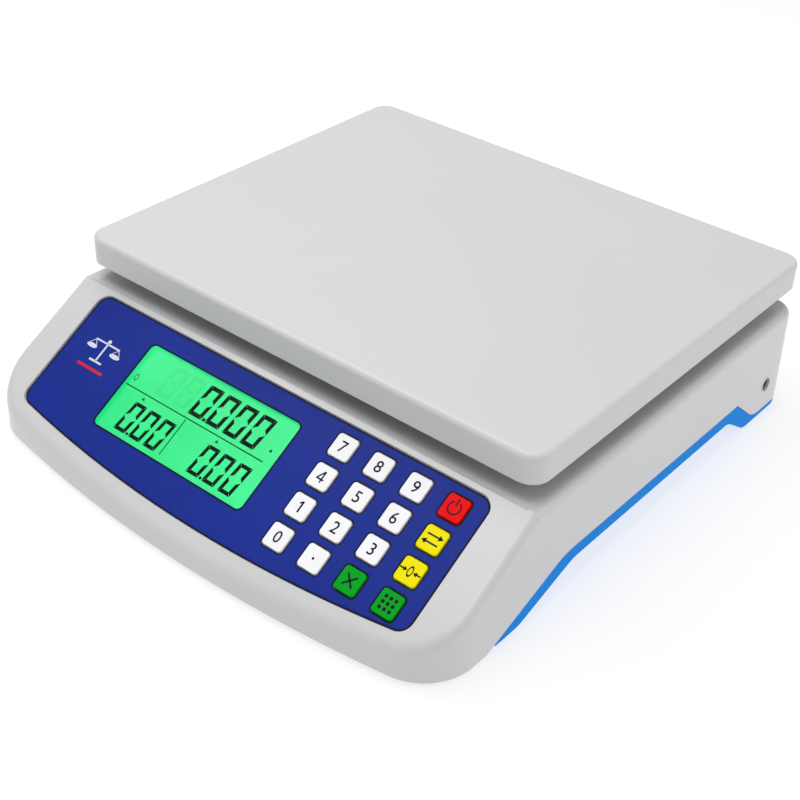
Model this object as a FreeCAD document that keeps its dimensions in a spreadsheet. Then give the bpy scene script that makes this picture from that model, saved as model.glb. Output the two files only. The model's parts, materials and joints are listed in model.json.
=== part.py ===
import FreeCAD, Part
import Sketcher
import math
import os
import re

# A counter-top retail price scale: a sloping control panel in front of a flat weighing pan.
# Frame: millimetres, X to the right, Y to the rear, Z up, the origin on the surface it stands on,
# under the middle of the whole scale. "down" is measured down the sloping panel from its ridge,
# and "below" square to the panel, into the housing.

SIZES = [
    # weighing pan
    ("pan_width", 290), ("pan_depth", 238), ("pan_height", 15.2), ("pan_corner", 10),
    ("pan_edge_round", 2.6), ("pan_wall", 2.4), ("pan_rib", 2), ("pan_rib_height", 6),
    ("pan_y", 40.75), ("pan_gap", 10.4),
    # upper housing
    ("housing_top", 60.4), ("housing_half_width", 150), ("housing_front", 159.75),
    ("housing_rear", 157.85), ("front_bow_radius", 770), ("front_corner", 28.5), ("rear_corner", 14),
    ("wall_draft", 1.5), ("wall", 2.6), ("panel_wall", 3), ("edge_round", 4), ("front_round", 8),
    ("ground_clearance", 2.8), ("tool_spare", 2),
    # sloping panel, its membrane and its window
    ("ridge_y", -79.45), ("panel_slope", 31.24), ("recess", 1.3), ("overlay_thickness", 0.4),
    ("overlay_half_width", 128.2), ("overlay_down", 3.6), ("overlay_length", 79.2),
    ("overlay_bow_radius", 820), ("overlay_corner", 7), ("overlay_clearance", 0.5),
    ("window_x", -29.15), ("window_down", 39.68), ("window_width", 103), ("window_length", 49.7),
    ("window_corner", 3), ("lens_margin", 1), ("lens_thickness", 1.7), ("lens_clearance", 0.3),
    # keys
    ("key_x", 48.3), ("key_pitch_x", 21.67), ("key_down", 14.87),
    ("key_pitch_down", 16.89), ("key_width", 11.9), ("key_corner", 1.8), ("key_gap", 0.5),
    ("key_edge_round", 0.5), ("key_proud", 0.7), ("key_travel", 0.7),
    ("key_flange", 15.2), ("key_flange_thickness", 1.2),
    ("key_stem_radius", 2), ("key_stem_length", 0.7), ("running_gap", 0.3), ("dome_radius", 4.5),
    ("dome_top_radius", 3), ("dome_height", 2), ("mat_thickness", 1.2),
    # displays and boards
    ("glass_width", 112), ("glass_length", 58), ("glass_thickness", 2.8), ("backlight_thickness", 4),
    ("board_thickness", 1.6), ("main_board_width", 128), ("main_board_length", 64),
    ("key_board_width", 88), ("key_board_length", 80), ("post_radius", 3), ("post_inset", 4),
    ("post_root", 1),
    ("board_screw_radius", 1.2), ("board_screw_length", 6), ("board_head_radius", 2.2),
    ("board_head_height", 1.5), ("seat_gap", 0.2),
    ("chip_side", 14), ("chip_height", 1.6), ("chip_left", 20), ("socket_length", 16), ("socket_width", 6),
    ("socket_right", 26), ("socket_up", 18), ("converter_length", 10), ("converter_width", 6),
    ("converter_right", 20), ("buzzer_radius", 6), ("buzzer_height", 5), ("buzzer_mouth_radius", 1.2),
    ("buzzer_left", 44), ("buzzer_down", 8), ("mat_corner", 2), ("board_corner", 1), ("glass_inset", 1),
    # rear display
    ("rear_window_width", 96), ("rear_window_height", 30), ("rear_window_z", 35.5),
    ("rear_glass_width", 104), ("rear_glass_height", 36), ("rear_board_width", 122),
    ("rear_board_height", 40), ("rear_lens_inset", 1.5),
    # base tray
    ("tray_inset", 0.5), ("tray_wall", 2.4), ("tray_floor", 2.4), ("parting_gap", 0.3),
    ("tray_tip_y", -104.75), ("tray_front_gap", 1), ("lip_height", 3),
    ("tray_rib", 2), ("tray_rib_height", 3), ("arch_front_y", -88), ("arch_front_top_y", -47.5),
    ("arch_rear_top_y", 94), ("arch_rear_y", 113.5), ("arch_height", 13.5),
    ("skirt_front_y", -111.6), ("skirt_front_top_y", -55.4), ("skirt_rear_top_y", 101.9),
    ("skirt_rear_y", 122.4), ("skirt_height", 20.6), ("skirt_rear_height", 3.4),
    ("skirt_end_y", 146), ("skirt_end_slope", 0.6), ("skirt_end_round", 8),
    ("skirt_front_round", 40), ("skirt_top_round", 1.5), ("skirt_rear_round", 18),
    ("arch_front_round", 15), ("arch_front_top_round", 25), ("arch_rear_round", 12),
    # weighing platform and load cell
    ("cell_length", 130), ("cell_width", 30), ("cell_height", 22), ("cell_bore_radius", 7),
    ("cell_bore_spread", 9), ("cell_screw_inset", 10), ("cell_screw_pitch", 14),
    ("cell_head_radius", 5), ("cell_head_height", 3.3), ("spacer_length", 34), ("lower_spacer_height", 5),
    ("cell_screw_radius", 3), ("cell_screw_depth", 9), ("spider_clearance", 2), ("spider_thickness", 6),
    ("spider_arm_width", 16), ("spider_reach_x", 100), ("spider_reach_y", 80), ("spider_hub_width", 54),
    ("pad_radius", 8), ("pad_height", 6), ("pad_nub_radius", 4), ("pad_nub_height", 5),
    ("pad_stem_radius", 3), ("pad_stem_length", 4), ("pad_clearance", 0.3), ("platform_opening", 44),
    ("gauge_width", 20), ("gauge_length", 32), ("gauge_thickness", 1.6), ("stop_gap", 0.35),
    ("stop_screw_radius", 2.5), ("stop_inset", 12), ("spider_corner", 6), ("spider_hub_rear", 39),
    ("rib_inner_x", 22), ("rib_middle_x", 60), ("rib_outer_x", 98),
    # battery, its door and the power inlet
    ("battery_width", 70), ("battery_depth", 47), ("battery_height", 20), ("battery_x", -70),
    ("battery_y", 30), ("door_width", 84), ("door_depth", 64), ("door_thickness", 1.4),
    ("door_clearance", 0.3), ("door_boss_radius", 3.4), ("door_boss_height", 4),
    ("cradle_wall", 1.6), ("cradle_height", 12),
    ("jack_y", 132.75), ("jack_z", 21.4), ("jack_hole_radius", 3.75), ("jack_nose_radius", 3.4),
    ("jack_bore_radius", 2.85), ("jack_bore_depth", 10), ("jack_pin_radius", 1), ("jack_length", 14),
    ("jack_width", 9.4), ("jack_height", 11), ("jack_setback", 0.8), ("jack_overlap", 1),
    ("terminal_length", 8), ("terminal_width", 5), ("terminal_height", 3), ("terminal_x", 24),
    ("bay_clearance", 0.5), ("door_screw_inset", 2.8),
    # feet and case screws
    ("front_foot_in", 37.5), ("front_foot_back", 41.75), ("rear_foot_in", 25.5), ("rear_foot_forward", 21.85),
    ("front_screw_x", 60), ("front_screw_back", 10.25), ("side_screw_in", 12.5),
    ("shoulder_screw_back", 59.75), ("side_screw_forward", 20.75), ("rear_screw_in", 51.5),
    ("rear_screw_forward", 14.85),
    ("foot_radius", 9), ("foot_recess", 1.1), ("foot_clearance", 0.3), ("case_post_radius", 4),
    ("case_boss_radius", 5), ("case_boss_height", 6), ("case_screw_radius", 1.5),
    ("case_screw_length", 9), ("case_head_radius", 2.8), ("case_head_height", 2),
    ("case_head_depth", 3), ("screw_clearance", 0.1), ("pilot_spare", 0.5), ("head_clearance", 0.4),
    ("foot_chamfer", 0.8),
]
KEY_NAMES = [["key_7", "key_8", "key_9", "key_power"], ["key_4", "key_5", "key_6", "key_mode"],
             ["key_1", "key_2", "key_3", "key_tare"], ["key_0", "key_point", "key_clear", "key_count"]]

BEYOND = 250  # clear of the whole scale, for the ends of a cutting tool
OVERCUT = 30  # how far a tool stands above the highest edge that it cuts

doc = FreeCAD.newDocument("retail_price_scale")
sheet = doc.addObject("Spreadsheet::Sheet", "Sizes")
for row, (name, number) in enumerate(SIZES, start=1):
    sheet.set("A%d" % row, name)
    sheet.set("B%d" % row, str(number))
    sheet.setAlias("B%d" % row, name)
doc.recompute()

Vector = FreeCAD.Vector


# ---- reading and binding sheet values --------------------------------------------------------

def size(formula):
    """The number that sheet names joined by + - and * give."""
    total = 0.0
    for term in formula.replace("-", "+-").split("+"):
        product = 1.0
        for factor in term.replace("-", "-1*").split("*"):
            factor = factor.strip()
            if factor:
                product *= sheet.get(factor) if factor[0].isalpha() else float(factor)
        total += product if term.strip() else 0.0
    return total


def bind(thing, prop, formula):
    """Ties a property to the sheet, so that it follows the formula's names."""
    known = dict(SIZES)

    def with_sheet(word):
        return "Sizes." + word.group(0) if word.group(0) in known else word.group(0)

    thing.setExpression(prop, re.sub(r"[a-z][a-z_]*", with_sheet, formula))


def place(thing, x="0", y="0", z="0"):
    """Puts a piece at formulas of the sheet, unturned."""
    bind(thing, "Placement.Base.x", x)
    bind(thing, "Placement.Base.y", y)
    bind(thing, "Placement.Base.z", z)
    return thing


def place_on_panel(thing, across="0", down="0", below="0"):
    """Lays a piece parallel to the sloping panel, its own z square to the panel."""
    thing.Placement = FreeCAD.Placement(Vector(), FreeCAD.Rotation(Vector(1, 0, 0), 10))
    bind(thing, "Placement.Rotation.Angle", "panel_slope")
    bind(thing, "Placement.Base.x", across)
    along = "ridge_y - (%s) * cos(panel_slope) + (%s) * sin(panel_slope)"
    bind(thing, "Placement.Base.y", along % (down, below))
    upright = "housing_top - (%s) * sin(panel_slope) - (%s) * cos(panel_slope)"
    bind(thing, "Placement.Base.z", upright % (down, below))
    return thing


# ---- sketches and features -------------------------------------------------------------------

def new_body(label):
    body = doc.addObject("PartDesign::Body", label)
    body.Label = label
    return body


def new_sketch(body, plane="XY_Plane", height=None):
    sketch = body.newObject("Sketcher::SketchObject", body.Label + "_sketch")
    origin_plane = [item for item in body.Origin.OriginFeatures if item.Role == plane][0]
    sketch.AttachmentSupport = [(origin_plane, "")]
    sketch.MapMode = "FlatFace"
    if height:
        bind(sketch, "AttachmentOffset.Base.z", height)
    return sketch


def draw_outline(sketch, corners):
    """A closed outline through corners (x, y, radius), each rounded by a tangent arc."""
    points = [Vector(corner[0], corner[1], 0) for corner in corners]
    starts, ends, arcs = [], [], []
    for index, corner in enumerate(corners):
        here = points[index]
        to_last = (points[index - 1] - here).normalize()
        to_next = (points[(index + 1) % len(points)] - here).normalize()
        if corner[2] == 0:
            ends.append(here)
            starts.append(here)
            arcs.append(None)
            continue
        half = to_last.getAngle(to_next) / 2
        reach = corner[2] / math.tan(half)
        bisector = (to_last + to_next).normalize()
        middle = here + bisector * (corner[2] / math.sin(half) - corner[2])
        ends.append(here + to_last * reach)
        starts.append(here + to_next * reach)
        arcs.append(middle)
    lines = []
    for index in range(len(points)):
        following = (index + 1) % len(points)
        lines.append(sketch.addGeometry(Part.LineSegment(starts[index], ends[following])))
    rounds = []
    for index, middle in enumerate(arcs):
        if middle is not None:
            rounds.append(sketch.addGeometry(Part.Arc(ends[index], middle, starts[index])))
    return lines, rounds


def draw_rectangle(sketch, width, depth, corner="0"):
    """A rectangle about the sketch's origin, its sizes tied to the sheet."""
    half_x = size(width) / 2
    half_y = size(depth) / 2
    radius = size(corner)
    lines, rounds = draw_outline(sketch, [(-half_x, -half_y, radius), (half_x, -half_y, radius),
                                          (half_x, half_y, radius), (-half_x, half_y, radius)])
    for side in (0, 2):
        sketch.addConstraint(Sketcher.Constraint("Horizontal", lines[side]))
        sketch.addConstraint(Sketcher.Constraint("Vertical", lines[side + 1]))
    for index in range(4):
        if rounds:
            sketch.addConstraint(Sketcher.Constraint("Tangent", lines[index - 1], 2, rounds[index], 1))
            sketch.addConstraint(Sketcher.Constraint("Tangent", rounds[index], 2, lines[index], 1))
        else:
            sketch.addConstraint(Sketcher.Constraint("Coincident", lines[index - 1], 2, lines[index], 1))
    if rounds:
        for index in (1, 2, 3):
            sketch.addConstraint(Sketcher.Constraint("Equal", rounds[0], rounds[index]))
        named_size(sketch, Sketcher.Constraint("Radius", rounds[0], radius), corner)
    sketch.addConstraint(Sketcher.Constraint("Symmetric", lines[0], 1, lines[2], 1, -1, 1))
    named_size(sketch, Sketcher.Constraint("DistanceX", lines[3], 1, lines[1], 1, 2 * half_x), width)
    named_size(sketch, Sketcher.Constraint("DistanceY", lines[0], 1, lines[2], 1, 2 * half_y), depth)


def named_size(sketch, constraint, formula):
    index = sketch.addConstraint(constraint)
    bind(sketch, "Constraints[%d]" % index, formula)


def draw_circle(sketch, x, y, radius):
    index = sketch.addGeometry(Part.Circle(Vector(x, y, 0), Vector(0, 0, 1), size(radius)))
    named_size(sketch, Sketcher.Constraint("Radius", index, size(radius)), radius)


def pad(body, sketch, length, down=False, taper=None):
    feature = body.newObject("PartDesign::Pad", body.Label + "_pad")
    feature.Profile = sketch
    bind(feature, "Length", length)
    feature.Reversed = down
    if taper:
        bind(feature, "TaperAngle", taper)
    doc.recompute()
    return feature


def pocket(body, sketch, depth=None, up=False):
    """Cuts from the sketch: to a depth, or both ways through the whole body."""
    before = body.Shape.Volume
    feature = body.newObject("PartDesign::Pocket", body.Label + "_pocket")
    feature.Profile = sketch
    if depth:
        bind(feature, "Length", depth)
        feature.Reversed = up
    else:
        feature.Type = "ThroughAll"
        feature.SideType = "Symmetric"
    doc.recompute()
    if body.Shape.Volume > before - 0.01:
        raise RuntimeError("a pocket cut nothing in " + body.Label)
    return feature


def round_edges(body, radius, wanted):
    """Fillets the body's edges that wanted(edge) picks."""
    tip = body.Tip
    names = ["Edge%d" % (i + 1) for i, edge in enumerate(tip.Shape.Edges) if wanted(edge)]
    feature = body.newObject("PartDesign::Fillet", body.Label + "_fillet")
    feature.Base = (tip, names)
    bind(feature, "Radius", radius)
    doc.recompute()
    return feature


def at_height(z):
    return lambda edge: all(abs(vertex.Z - z) < 0.001 for vertex in edge.Vertexes)


def plate(label, width, depth, thickness, corner="0"):
    """A flat piece centred on its own z axis, from z = 0 down to its thickness."""
    body = new_body(label)
    sketch = new_sketch(body)
    draw_rectangle(sketch, width, depth, corner)
    pad(body, sketch, thickness, down=True)
    return body


def turned(label, outline):
    """A piece turned about its own z axis from (radius, height) corners."""
    body = new_body(label)
    sketch = new_sketch(body, "XZ_Plane")
    draw_outline(sketch, [(radius, height, 0) for radius, height in outline])
    feature = body.newObject("PartDesign::Revolution", label + "_revolution")
    feature.Profile = sketch
    feature.ReferenceAxis = (sketch, ["V_Axis"])
    feature.Angle = 360
    doc.recompute()
    return body


# ---- primitives and booleans -----------------------------------------------------------------

def block(label, sides, corner):
    """A box whose three sides and lowest corner are formulas of the sheet."""
    box = doc.addObject("Part::Box", label)
    for prop, formula in zip(("Length", "Width", "Height"), sides):
        bind(box, prop, formula)
    return place(box, *corner)


def cylinder(label, radius, height, foot):
    rod = doc.addObject("Part::Cylinder", label)
    bind(rod, "Radius", radius)
    bind(rod, "Height", height)
    return place(rod, *foot)


def cross_cylinder(label, radius, length, start, axis):
    """A cylinder that lies along X (axis 0) or Y (axis 1)."""
    rod = cylinder(label, radius, length, start)
    turn = FreeCAD.Rotation(Vector(0, 1, 0), 90) if axis == 0 else FreeCAD.Rotation(Vector(1, 0, 0), -90)
    rod.Placement = FreeCAD.Placement(rod.Placement.Base, turn)
    return rod


def joined(label, pieces):
    whole = doc.addObject("Part::MultiFuse", label)
    whole.Shapes = pieces
    whole.Label = label
    return whole


def cut(label, base, tools):
    result = doc.addObject("Part::Cut", label)
    result.Base = base
    result.Tool = tools[0] if len(tools) == 1 else joined(label + "_tools", tools)
    result.Label = label
    return result


def group(label, pieces):
    """Identical pieces that share one node as separate solids."""
    kit = doc.addObject("Part::Compound", label)
    kit.Links = pieces
    kit.Label = label
    return kit


def at(number):
    return "%.4f" % number


# ---- the bowed outline that the housing, the tray and the panel share ------------------------

def draw_bowed_outline(sketch, half, front, bow, corner, rear, rear_corner, step=None):
    """Straight sides and rear, a front that bows out to y = front, and round corners.

    step = (y, half width) widens the outline behind that y.
    """
    centre_y = front + bow
    corner_x = half - corner
    corner_y = centre_y - math.sqrt((bow - corner) ** 2 - corner_x ** 2)
    lean = math.atan2(corner_x, centre_y - corner_y)
    wide = step[1] if step else half

    def side(sign):
        bow_end = Vector(sign * bow * math.sin(lean), centre_y - bow * math.cos(lean), 0)
        turn = lean / 2 + math.pi / 4
        middle = Vector(sign * (corner_x + corner * math.sin(turn)), corner_y - corner * math.cos(turn), 0)
        side_start = Vector(sign * half, corner_y, 0)
        rear_start = Vector(sign * wide, rear - rear_corner, 0)
        diagonal = rear_corner * (1 - math.sqrt(0.5))
        rear_middle = Vector(sign * (wide - diagonal), rear - diagonal, 0)
        rear_end = Vector(sign * (wide - rear_corner), rear, 0)
        sketch.addGeometry(Part.Arc(bow_end, middle, side_start))
        path = [side_start, rear_start]
        if step:
            path = [side_start, Vector(sign * half, step[0], 0), Vector(sign * wide, step[0], 0), rear_start]
        for first, second in zip(path, path[1:]):
            sketch.addGeometry(Part.LineSegment(first, second))
        sketch.addGeometry(Part.Arc(rear_start, rear_middle, rear_end))
        return bow_end, rear_end

    left, left_rear = side(-1)
    right, right_rear = side(1)
    sketch.addGeometry(Part.Arc(left, Vector(0, front, 0), right))
    sketch.addGeometry(Part.LineSegment(left_rear, right_rear))


def draw_plan(sketch, inset, rear_inset=None):
    """The housing's plan at the surface it stands on, moved in by inset.

    rear_inset, where it differs, holds for the sides behind the tray's tip and for the rear.
    """
    behind = inset if rear_inset is None else rear_inset
    step = None if rear_inset is None else (size("tray_tip_y"), size("housing_half_width") - behind)
    draw_bowed_outline(sketch, size("housing_half_width") - inset, inset - size("housing_front"),
                       size("front_bow_radius") - inset, size("front_corner") - inset,
                       size("housing_rear") - behind, size("rear_corner") - behind, step)


def cut_panel_slope(body, depth):
    """Takes away all above the panel's plane, or above a plane that deep below it."""
    slope = math.radians(size("panel_slope"))
    start_y = size("ridge_y") + depth * math.sin(slope)
    start = Vector(start_y, size("housing_top") - depth * math.cos(slope), 0)
    along = Vector(math.cos(slope), math.sin(slope), 0)
    upper = start + along * OVERCUT
    lower = start - along * BEYOND
    roof = upper.y + OVERCUT
    sketch = new_sketch(body, "YZ_Plane")
    draw_outline(sketch, [(upper.x, upper.y, 0), (lower.x, lower.y, 0),
                          (lower.x, roof, 0), (upper.x, roof, 0)])
    pocket(body, sketch)


def skirt_line(rise=0.0):
    """The housing's lower edge seen from the side, from front to rear, raised by rise."""
    low = size("ground_clearance") + rise
    high = low + size("skirt_height")
    back = low + size("skirt_rear_height")
    return [(size("skirt_front_y"), low, 0),
            (size("skirt_front_top_y"), high, size("skirt_front_round")),
            (size("skirt_rear_top_y"), high, size("skirt_top_round")),
            (size("skirt_rear_y"), back, size("skirt_rear_round")),
            (size("skirt_end_y"), back, size("skirt_end_round")),
            (BEYOND, back + (BEYOND - size("skirt_end_y")) * size("skirt_end_slope"), 0)]


def underside_line(rise=0.0):
    """The tray's underside seen from the side, arched between its front and rear, raised by rise."""
    low = size("ground_clearance") + rise
    high = low + size("arch_height")
    rear_round = size("arch_rear_round")
    return [(-BEYOND, low, 0), (size("arch_front_y"), low, size("arch_front_round")),
            (size("arch_front_top_y"), high, size("arch_front_top_round")),
            (size("arch_rear_top_y"), high, rear_round), (size("arch_rear_y"), low, rear_round),
            (BEYOND, low, 0)]


def cut_under(body, line):
    sketch = new_sketch(body, "YZ_Plane")
    draw_outline(sketch, [(line[0][0], -BEYOND, 0)] + line + [(line[-1][0], -BEYOND, 0)])
    pocket(body, sketch)


def cut_over(body, line):
    sketch = new_sketch(body, "YZ_Plane")
    draw_outline(sketch, [(line[0][0], BEYOND, 0)] + line + [(line[-1][0], BEYOND, 0)])
    pocket(body, sketch)


def underside_at(y):
    """The tray's underside level at a place, both as formulas."""
    arched = size("arch_front_top_y") < size(y) < size("arch_rear_top_y")
    return "ground_clearance + arch_height" if arched else "ground_clearance"


# ---- levels and places that several pieces share ---------------------------------------------

def beside(side, inset):
    """A place that far in from the housing's left (-1) or right (1) side."""
    return "%d*housing_half_width + %d*%s" % (side, -side, inset)


FOOT_PLACES = [(beside(side, inset), y) for inset, y in (
    ("front_foot_in", "front_foot_back - housing_front"),
    ("rear_foot_in", "housing_rear - rear_foot_forward")) for side in (-1, 1)]
CASE_SCREW_PLACES = [("%d*front_screw_x" % side, "front_screw_back - housing_front") for side in (-1, 1)]
CASE_SCREW_PLACES += [(beside(side, inset), y) for inset, y in (
    ("side_screw_in", "shoulder_screw_back - housing_front"),
    ("side_screw_in", "pan_y - side_screw_forward"),
    ("rear_screw_in", "housing_rear - rear_screw_forward")) for side in (-1, 1)]

MID_FLOOR = "ground_clearance + arch_height + tray_floor"
CELL_FOOT = MID_FLOOR + " + lower_spacer_height"
CELL_TOP = CELL_FOOT + " + cell_height"
SPIDER_FOOT = "housing_top + spider_clearance"
SPIDER_TOP = SPIDER_FOOT + " + spider_thickness"
PAD_TOP = SPIDER_TOP + " + pad_height"
PAN_FOOT = "housing_top + pan_gap"
PAN_TOP = PAN_FOOT + " + pan_height"
PAD_PLACES = [(sx * size("spider_reach_x"), sy * size("spider_reach_y")) for sx in (-1, 1) for sy in (-1, 1)]
CELL_END = "pan_y + 0.5*cell_length"
FREE_SCREWS = ["pan_y - 0.5*cell_length + cell_screw_inset",
               "pan_y - 0.5*cell_length + cell_screw_inset + cell_screw_pitch"]
FIXED_SCREWS = [CELL_END + " - cell_screw_inset", CELL_END + " - cell_screw_inset - cell_screw_pitch"]
GLASS_BELOW = "panel_wall + seat_gap"
BACKLIGHT_BELOW = GLASS_BELOW + " + glass_thickness + seat_gap"
MAIN_BOARD_BELOW = BACKLIGHT_BELOW + " + backlight_thickness + seat_gap"
KEY_TOP_BELOW = "recess - overlay_thickness - key_proud"
KEY_FLANGE_BELOW = "panel_wall + running_gap"
MAT_BELOW = KEY_FLANGE_BELOW + " + key_flange_thickness + key_stem_length + key_travel + screw_clearance"
MAT_BASE_BELOW = MAT_BELOW + " + dome_height"
KEY_BOARD_BELOW = MAT_BASE_BELOW + " + mat_thickness + screw_clearance"
KEYS_MIDDLE_X = "key_x + 1.5*key_pitch_x"
KEYS_MIDDLE_DOWN = "key_down + 1.5*key_pitch_down"
MAIN_POSTS = [("window_x + %d*0.5*main_board_width + %d*post_inset" % (sx, -sx),
               "window_down + %d*0.5*main_board_length + %d*post_inset" % (sy, -sy))
              for sx in (-1, 1) for sy in (-1, 1)]
KEY_POSTS = [("key_x + %s*key_pitch_x" % column,
              KEYS_MIDDLE_DOWN + " + %d*0.5*key_board_length + %d*post_inset" % (sy, -sy))
             for column in ("0.5", "2.5") for sy in (-1, 1)]
REAR_GLASS_Y = "housing_rear - wall - rear_lens_inset"
REAR_BOARD_Y = REAR_GLASS_Y + " - glass_thickness - backlight_thickness - 2*seat_gap"
REAR_POSTS = [("%d*0.5*rear_board_width + %d*post_inset" % (sx, -sx),
               "rear_window_z + %d*0.5*rear_board_height + %d*post_inset" % (sz, -sz))
              for sx in (-1, 1) for sz in (-1, 1)]
JACK_FACE_X = "housing_half_width - wall - jack_setback"
DOOR_SCREW_Y = "battery_y + 0.5*door_depth - door_screw_inset"


# ---- upper housing ---------------------------------------------------------------------------

def panel_cutter(label, width, length, corner, across, down):
    """A tool that cuts a rounded rectangle square through the panel."""
    tool = plate(label, width, length, "panel_wall + 2*tool_spare", corner)
    return place_on_panel(tool, across, down, "-1*tool_spare")


def bowed_plate(label, grow, thickness):
    """The membrane's outline on the panel, grown all round, from z = 0 down."""
    body = new_body(label)
    sketch = new_sketch(body)
    down = size("overlay_down")
    draw_bowed_outline(sketch, size("overlay_half_width") + grow, -down - size("overlay_length") - grow,
                       size("overlay_bow_radius") + grow, size("overlay_corner") + grow,
                       grow - down, size("overlay_corner") + grow)
    pad(body, sketch, thickness, down=True)
    return body


def key_cutter(label):
    """All key windows as one tool through the panel."""
    body = new_body(label)
    sketch = new_sketch(body)
    half = size("key_width") / 2 + size("key_gap")
    radius = size("key_corner") + size("key_gap") / 2
    for row in range(len(KEY_NAMES)):
        for column in range(len(KEY_NAMES[row])):
            x = size("key_x") + column * size("key_pitch_x")
            y = -size("key_down") - row * size("key_pitch_down")
            draw_outline(sketch, [(x - half, y - half, radius), (x + half, y - half, radius),
                                  (x + half, y + half, radius), (x - half, y + half, radius)])
    pad(body, sketch, "panel_wall + 2*tool_spare", down=True)
    return place_on_panel(body, below="-1*tool_spare")


def housing_outside():
    """The closed outer form: a drafted prism, its slope, its arched lower edge and its rounds."""
    body = new_body("housing_outside")
    sketch = new_sketch(body, height="ground_clearance")
    draw_plan(sketch, 0.0)
    pad(body, sketch, "housing_top - ground_clearance", taper="-1 * wall_draft")
    cut_panel_slope(body, 0.0)
    line = skirt_line()
    cut_under(body, line)
    return round_outside(body)


def round_outside(body):
    """Rounds the rim: edge_round at the sides and rear, growing to front_round along the front."""
    top = size("housing_top")
    slope = math.tan(math.radians(size("panel_slope")))
    sharp = doc.addObject("Part::Fillet", "housing_rounded")
    sharp.Base = body
    small = size("edge_round")
    large = size("front_round")
    picked = []
    for index, edge in enumerate(body.Shape.Edges, start=1):
        ends = [vertex.Point for vertex in edge.Vertexes]
        if len(ends) < 2:
            continue
        on_top = all(abs(end.z - top) < 0.01 for end in ends)
        on_slope = all(abs(end.z - top - (end.y - size("ridge_y")) * slope) < 0.01 for end in ends)
        if on_top and on_slope:
            continue  # the ridge itself stays crisp
        if on_top:
            picked.append((index, small, small))
        elif on_slope:
            radii = [large if abs(end.x) < size("housing_half_width") - large else small
                     for end in ends]
            if edge.Vertexes[0].Point.distanceToPoint(edge.valueAt(edge.FirstParameter)) > 0.01:
                radii.reverse()
            picked.append((index, radii[0], radii[1]))
    sharp.Edges = picked
    doc.recompute()
    return sharp


def housing_posts():
    """Screw posts for the case, the boards and the rear display, left standing in the hollow."""
    posts = []
    for number, (x, y) in enumerate(CASE_SCREW_PLACES):
        foot = underside_at(y) + " + case_boss_height + seat_gap"
        posts.append(cylinder("case_post_%d" % number, "case_post_radius", "housing_top - 1*(%s)" % foot,
                              (x, y, foot)))
    for kind, places, below in (("main", MAIN_POSTS, MAIN_BOARD_BELOW), ("key", KEY_POSTS, KEY_BOARD_BELOW)):
        for number, (across, down) in enumerate(places):
            post = cylinder("%s_post_%d" % (kind, number), "post_radius",
                            "%s - panel_wall + post_root" % below, ("0",) * 3)
            posts.append(place_on_panel(post, across, down, below))
    for number, (x, z) in enumerate(REAR_POSTS):
        posts.append(cross_cylinder("rear_post_%d" % number, "post_radius",
                                    "housing_rear - 1*(%s)" % REAR_BOARD_Y, (x, REAR_BOARD_Y, z), 1))
    return posts


def housing_hollow():
    """What is taken out of the outer form, the posts standing in it."""
    body = new_body("housing_core")
    sketch = new_sketch(body, height="-1*ground_clearance")
    draw_plan(sketch, size("wall"))
    pad(body, sketch, "housing_top - wall + ground_clearance", taper="-1 * wall_draft")
    cut_panel_slope(body, size("panel_wall"))
    return cut("housing_hollow", body, housing_posts())


def housing_holes():
    """Windows, key windows, the platform's opening, the inlet's hole and the pilot holes."""
    holes = [place_on_panel(bowed_plate("recess_tool", size("overlay_clearance"), "recess + tool_spare"),
                            below="-1*tool_spare"),
             panel_cutter("lens_opening", "window_width + 2*lens_margin", "window_length + 2*lens_margin",
                          "window_corner + lens_margin", "window_x", "window_down"),
             key_cutter("housing_key_windows")]
    opening = plate("platform_opening_tool", "platform_opening", "platform_opening",
                    "wall + 2*tool_spare", "window_corner")
    holes.append(place(opening, "0", "pan_y - 0.5*cell_length + 0.5*spacer_length",
                       "housing_top + tool_spare"))
    holes.append(block("rear_opening", ("rear_window_width", "wall + 4*tool_spare", "rear_window_height"),
                       ("-0.5*rear_window_width", "housing_rear - wall - 2*tool_spare",
                        "rear_window_z - 0.5*rear_window_height")))
    holes.append(cross_cylinder("inlet_hole", "jack_hole_radius", "wall + 3*tool_spare",
                                ("housing_half_width - wall - tool_spare", "jack_y", "jack_z"), 0))
    for number, (x, y) in enumerate(CASE_SCREW_PLACES):
        foot = underside_at(y) + " + case_boss_height"
        depth = "case_head_depth + case_screw_length + pilot_spare - case_boss_height"
        holes.append(cylinder("case_pilot_%d" % number, "case_screw_radius + screw_clearance", depth,
                              (x, y, foot)))
    for kind, places, below in (("main", MAIN_POSTS, MAIN_BOARD_BELOW), ("key", KEY_POSTS, KEY_BOARD_BELOW)):
        for number, (across, down) in enumerate(places):
            pilot = cylinder("%s_pilot_%d" % (kind, number), "board_screw_radius + screw_clearance",
                             "board_screw_length - board_thickness + pilot_spare", ("0",) * 3)
            holes.append(place_on_panel(pilot, across, down, below))
    for number, (x, z) in enumerate(REAR_POSTS):
        holes.append(cross_cylinder("rear_pilot_%d" % number, "board_screw_radius + screw_clearance",
                                    "board_screw_length - board_thickness + pilot_spare",
                                    (x, REAR_BOARD_Y, z), 1))
    return holes


def upper_housing():
    shell = cut("housing_shell", housing_outside(), [housing_hollow()])
    return cut("upper_housing", shell, housing_holes())


# ---- base tray -------------------------------------------------------------------------------

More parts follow.
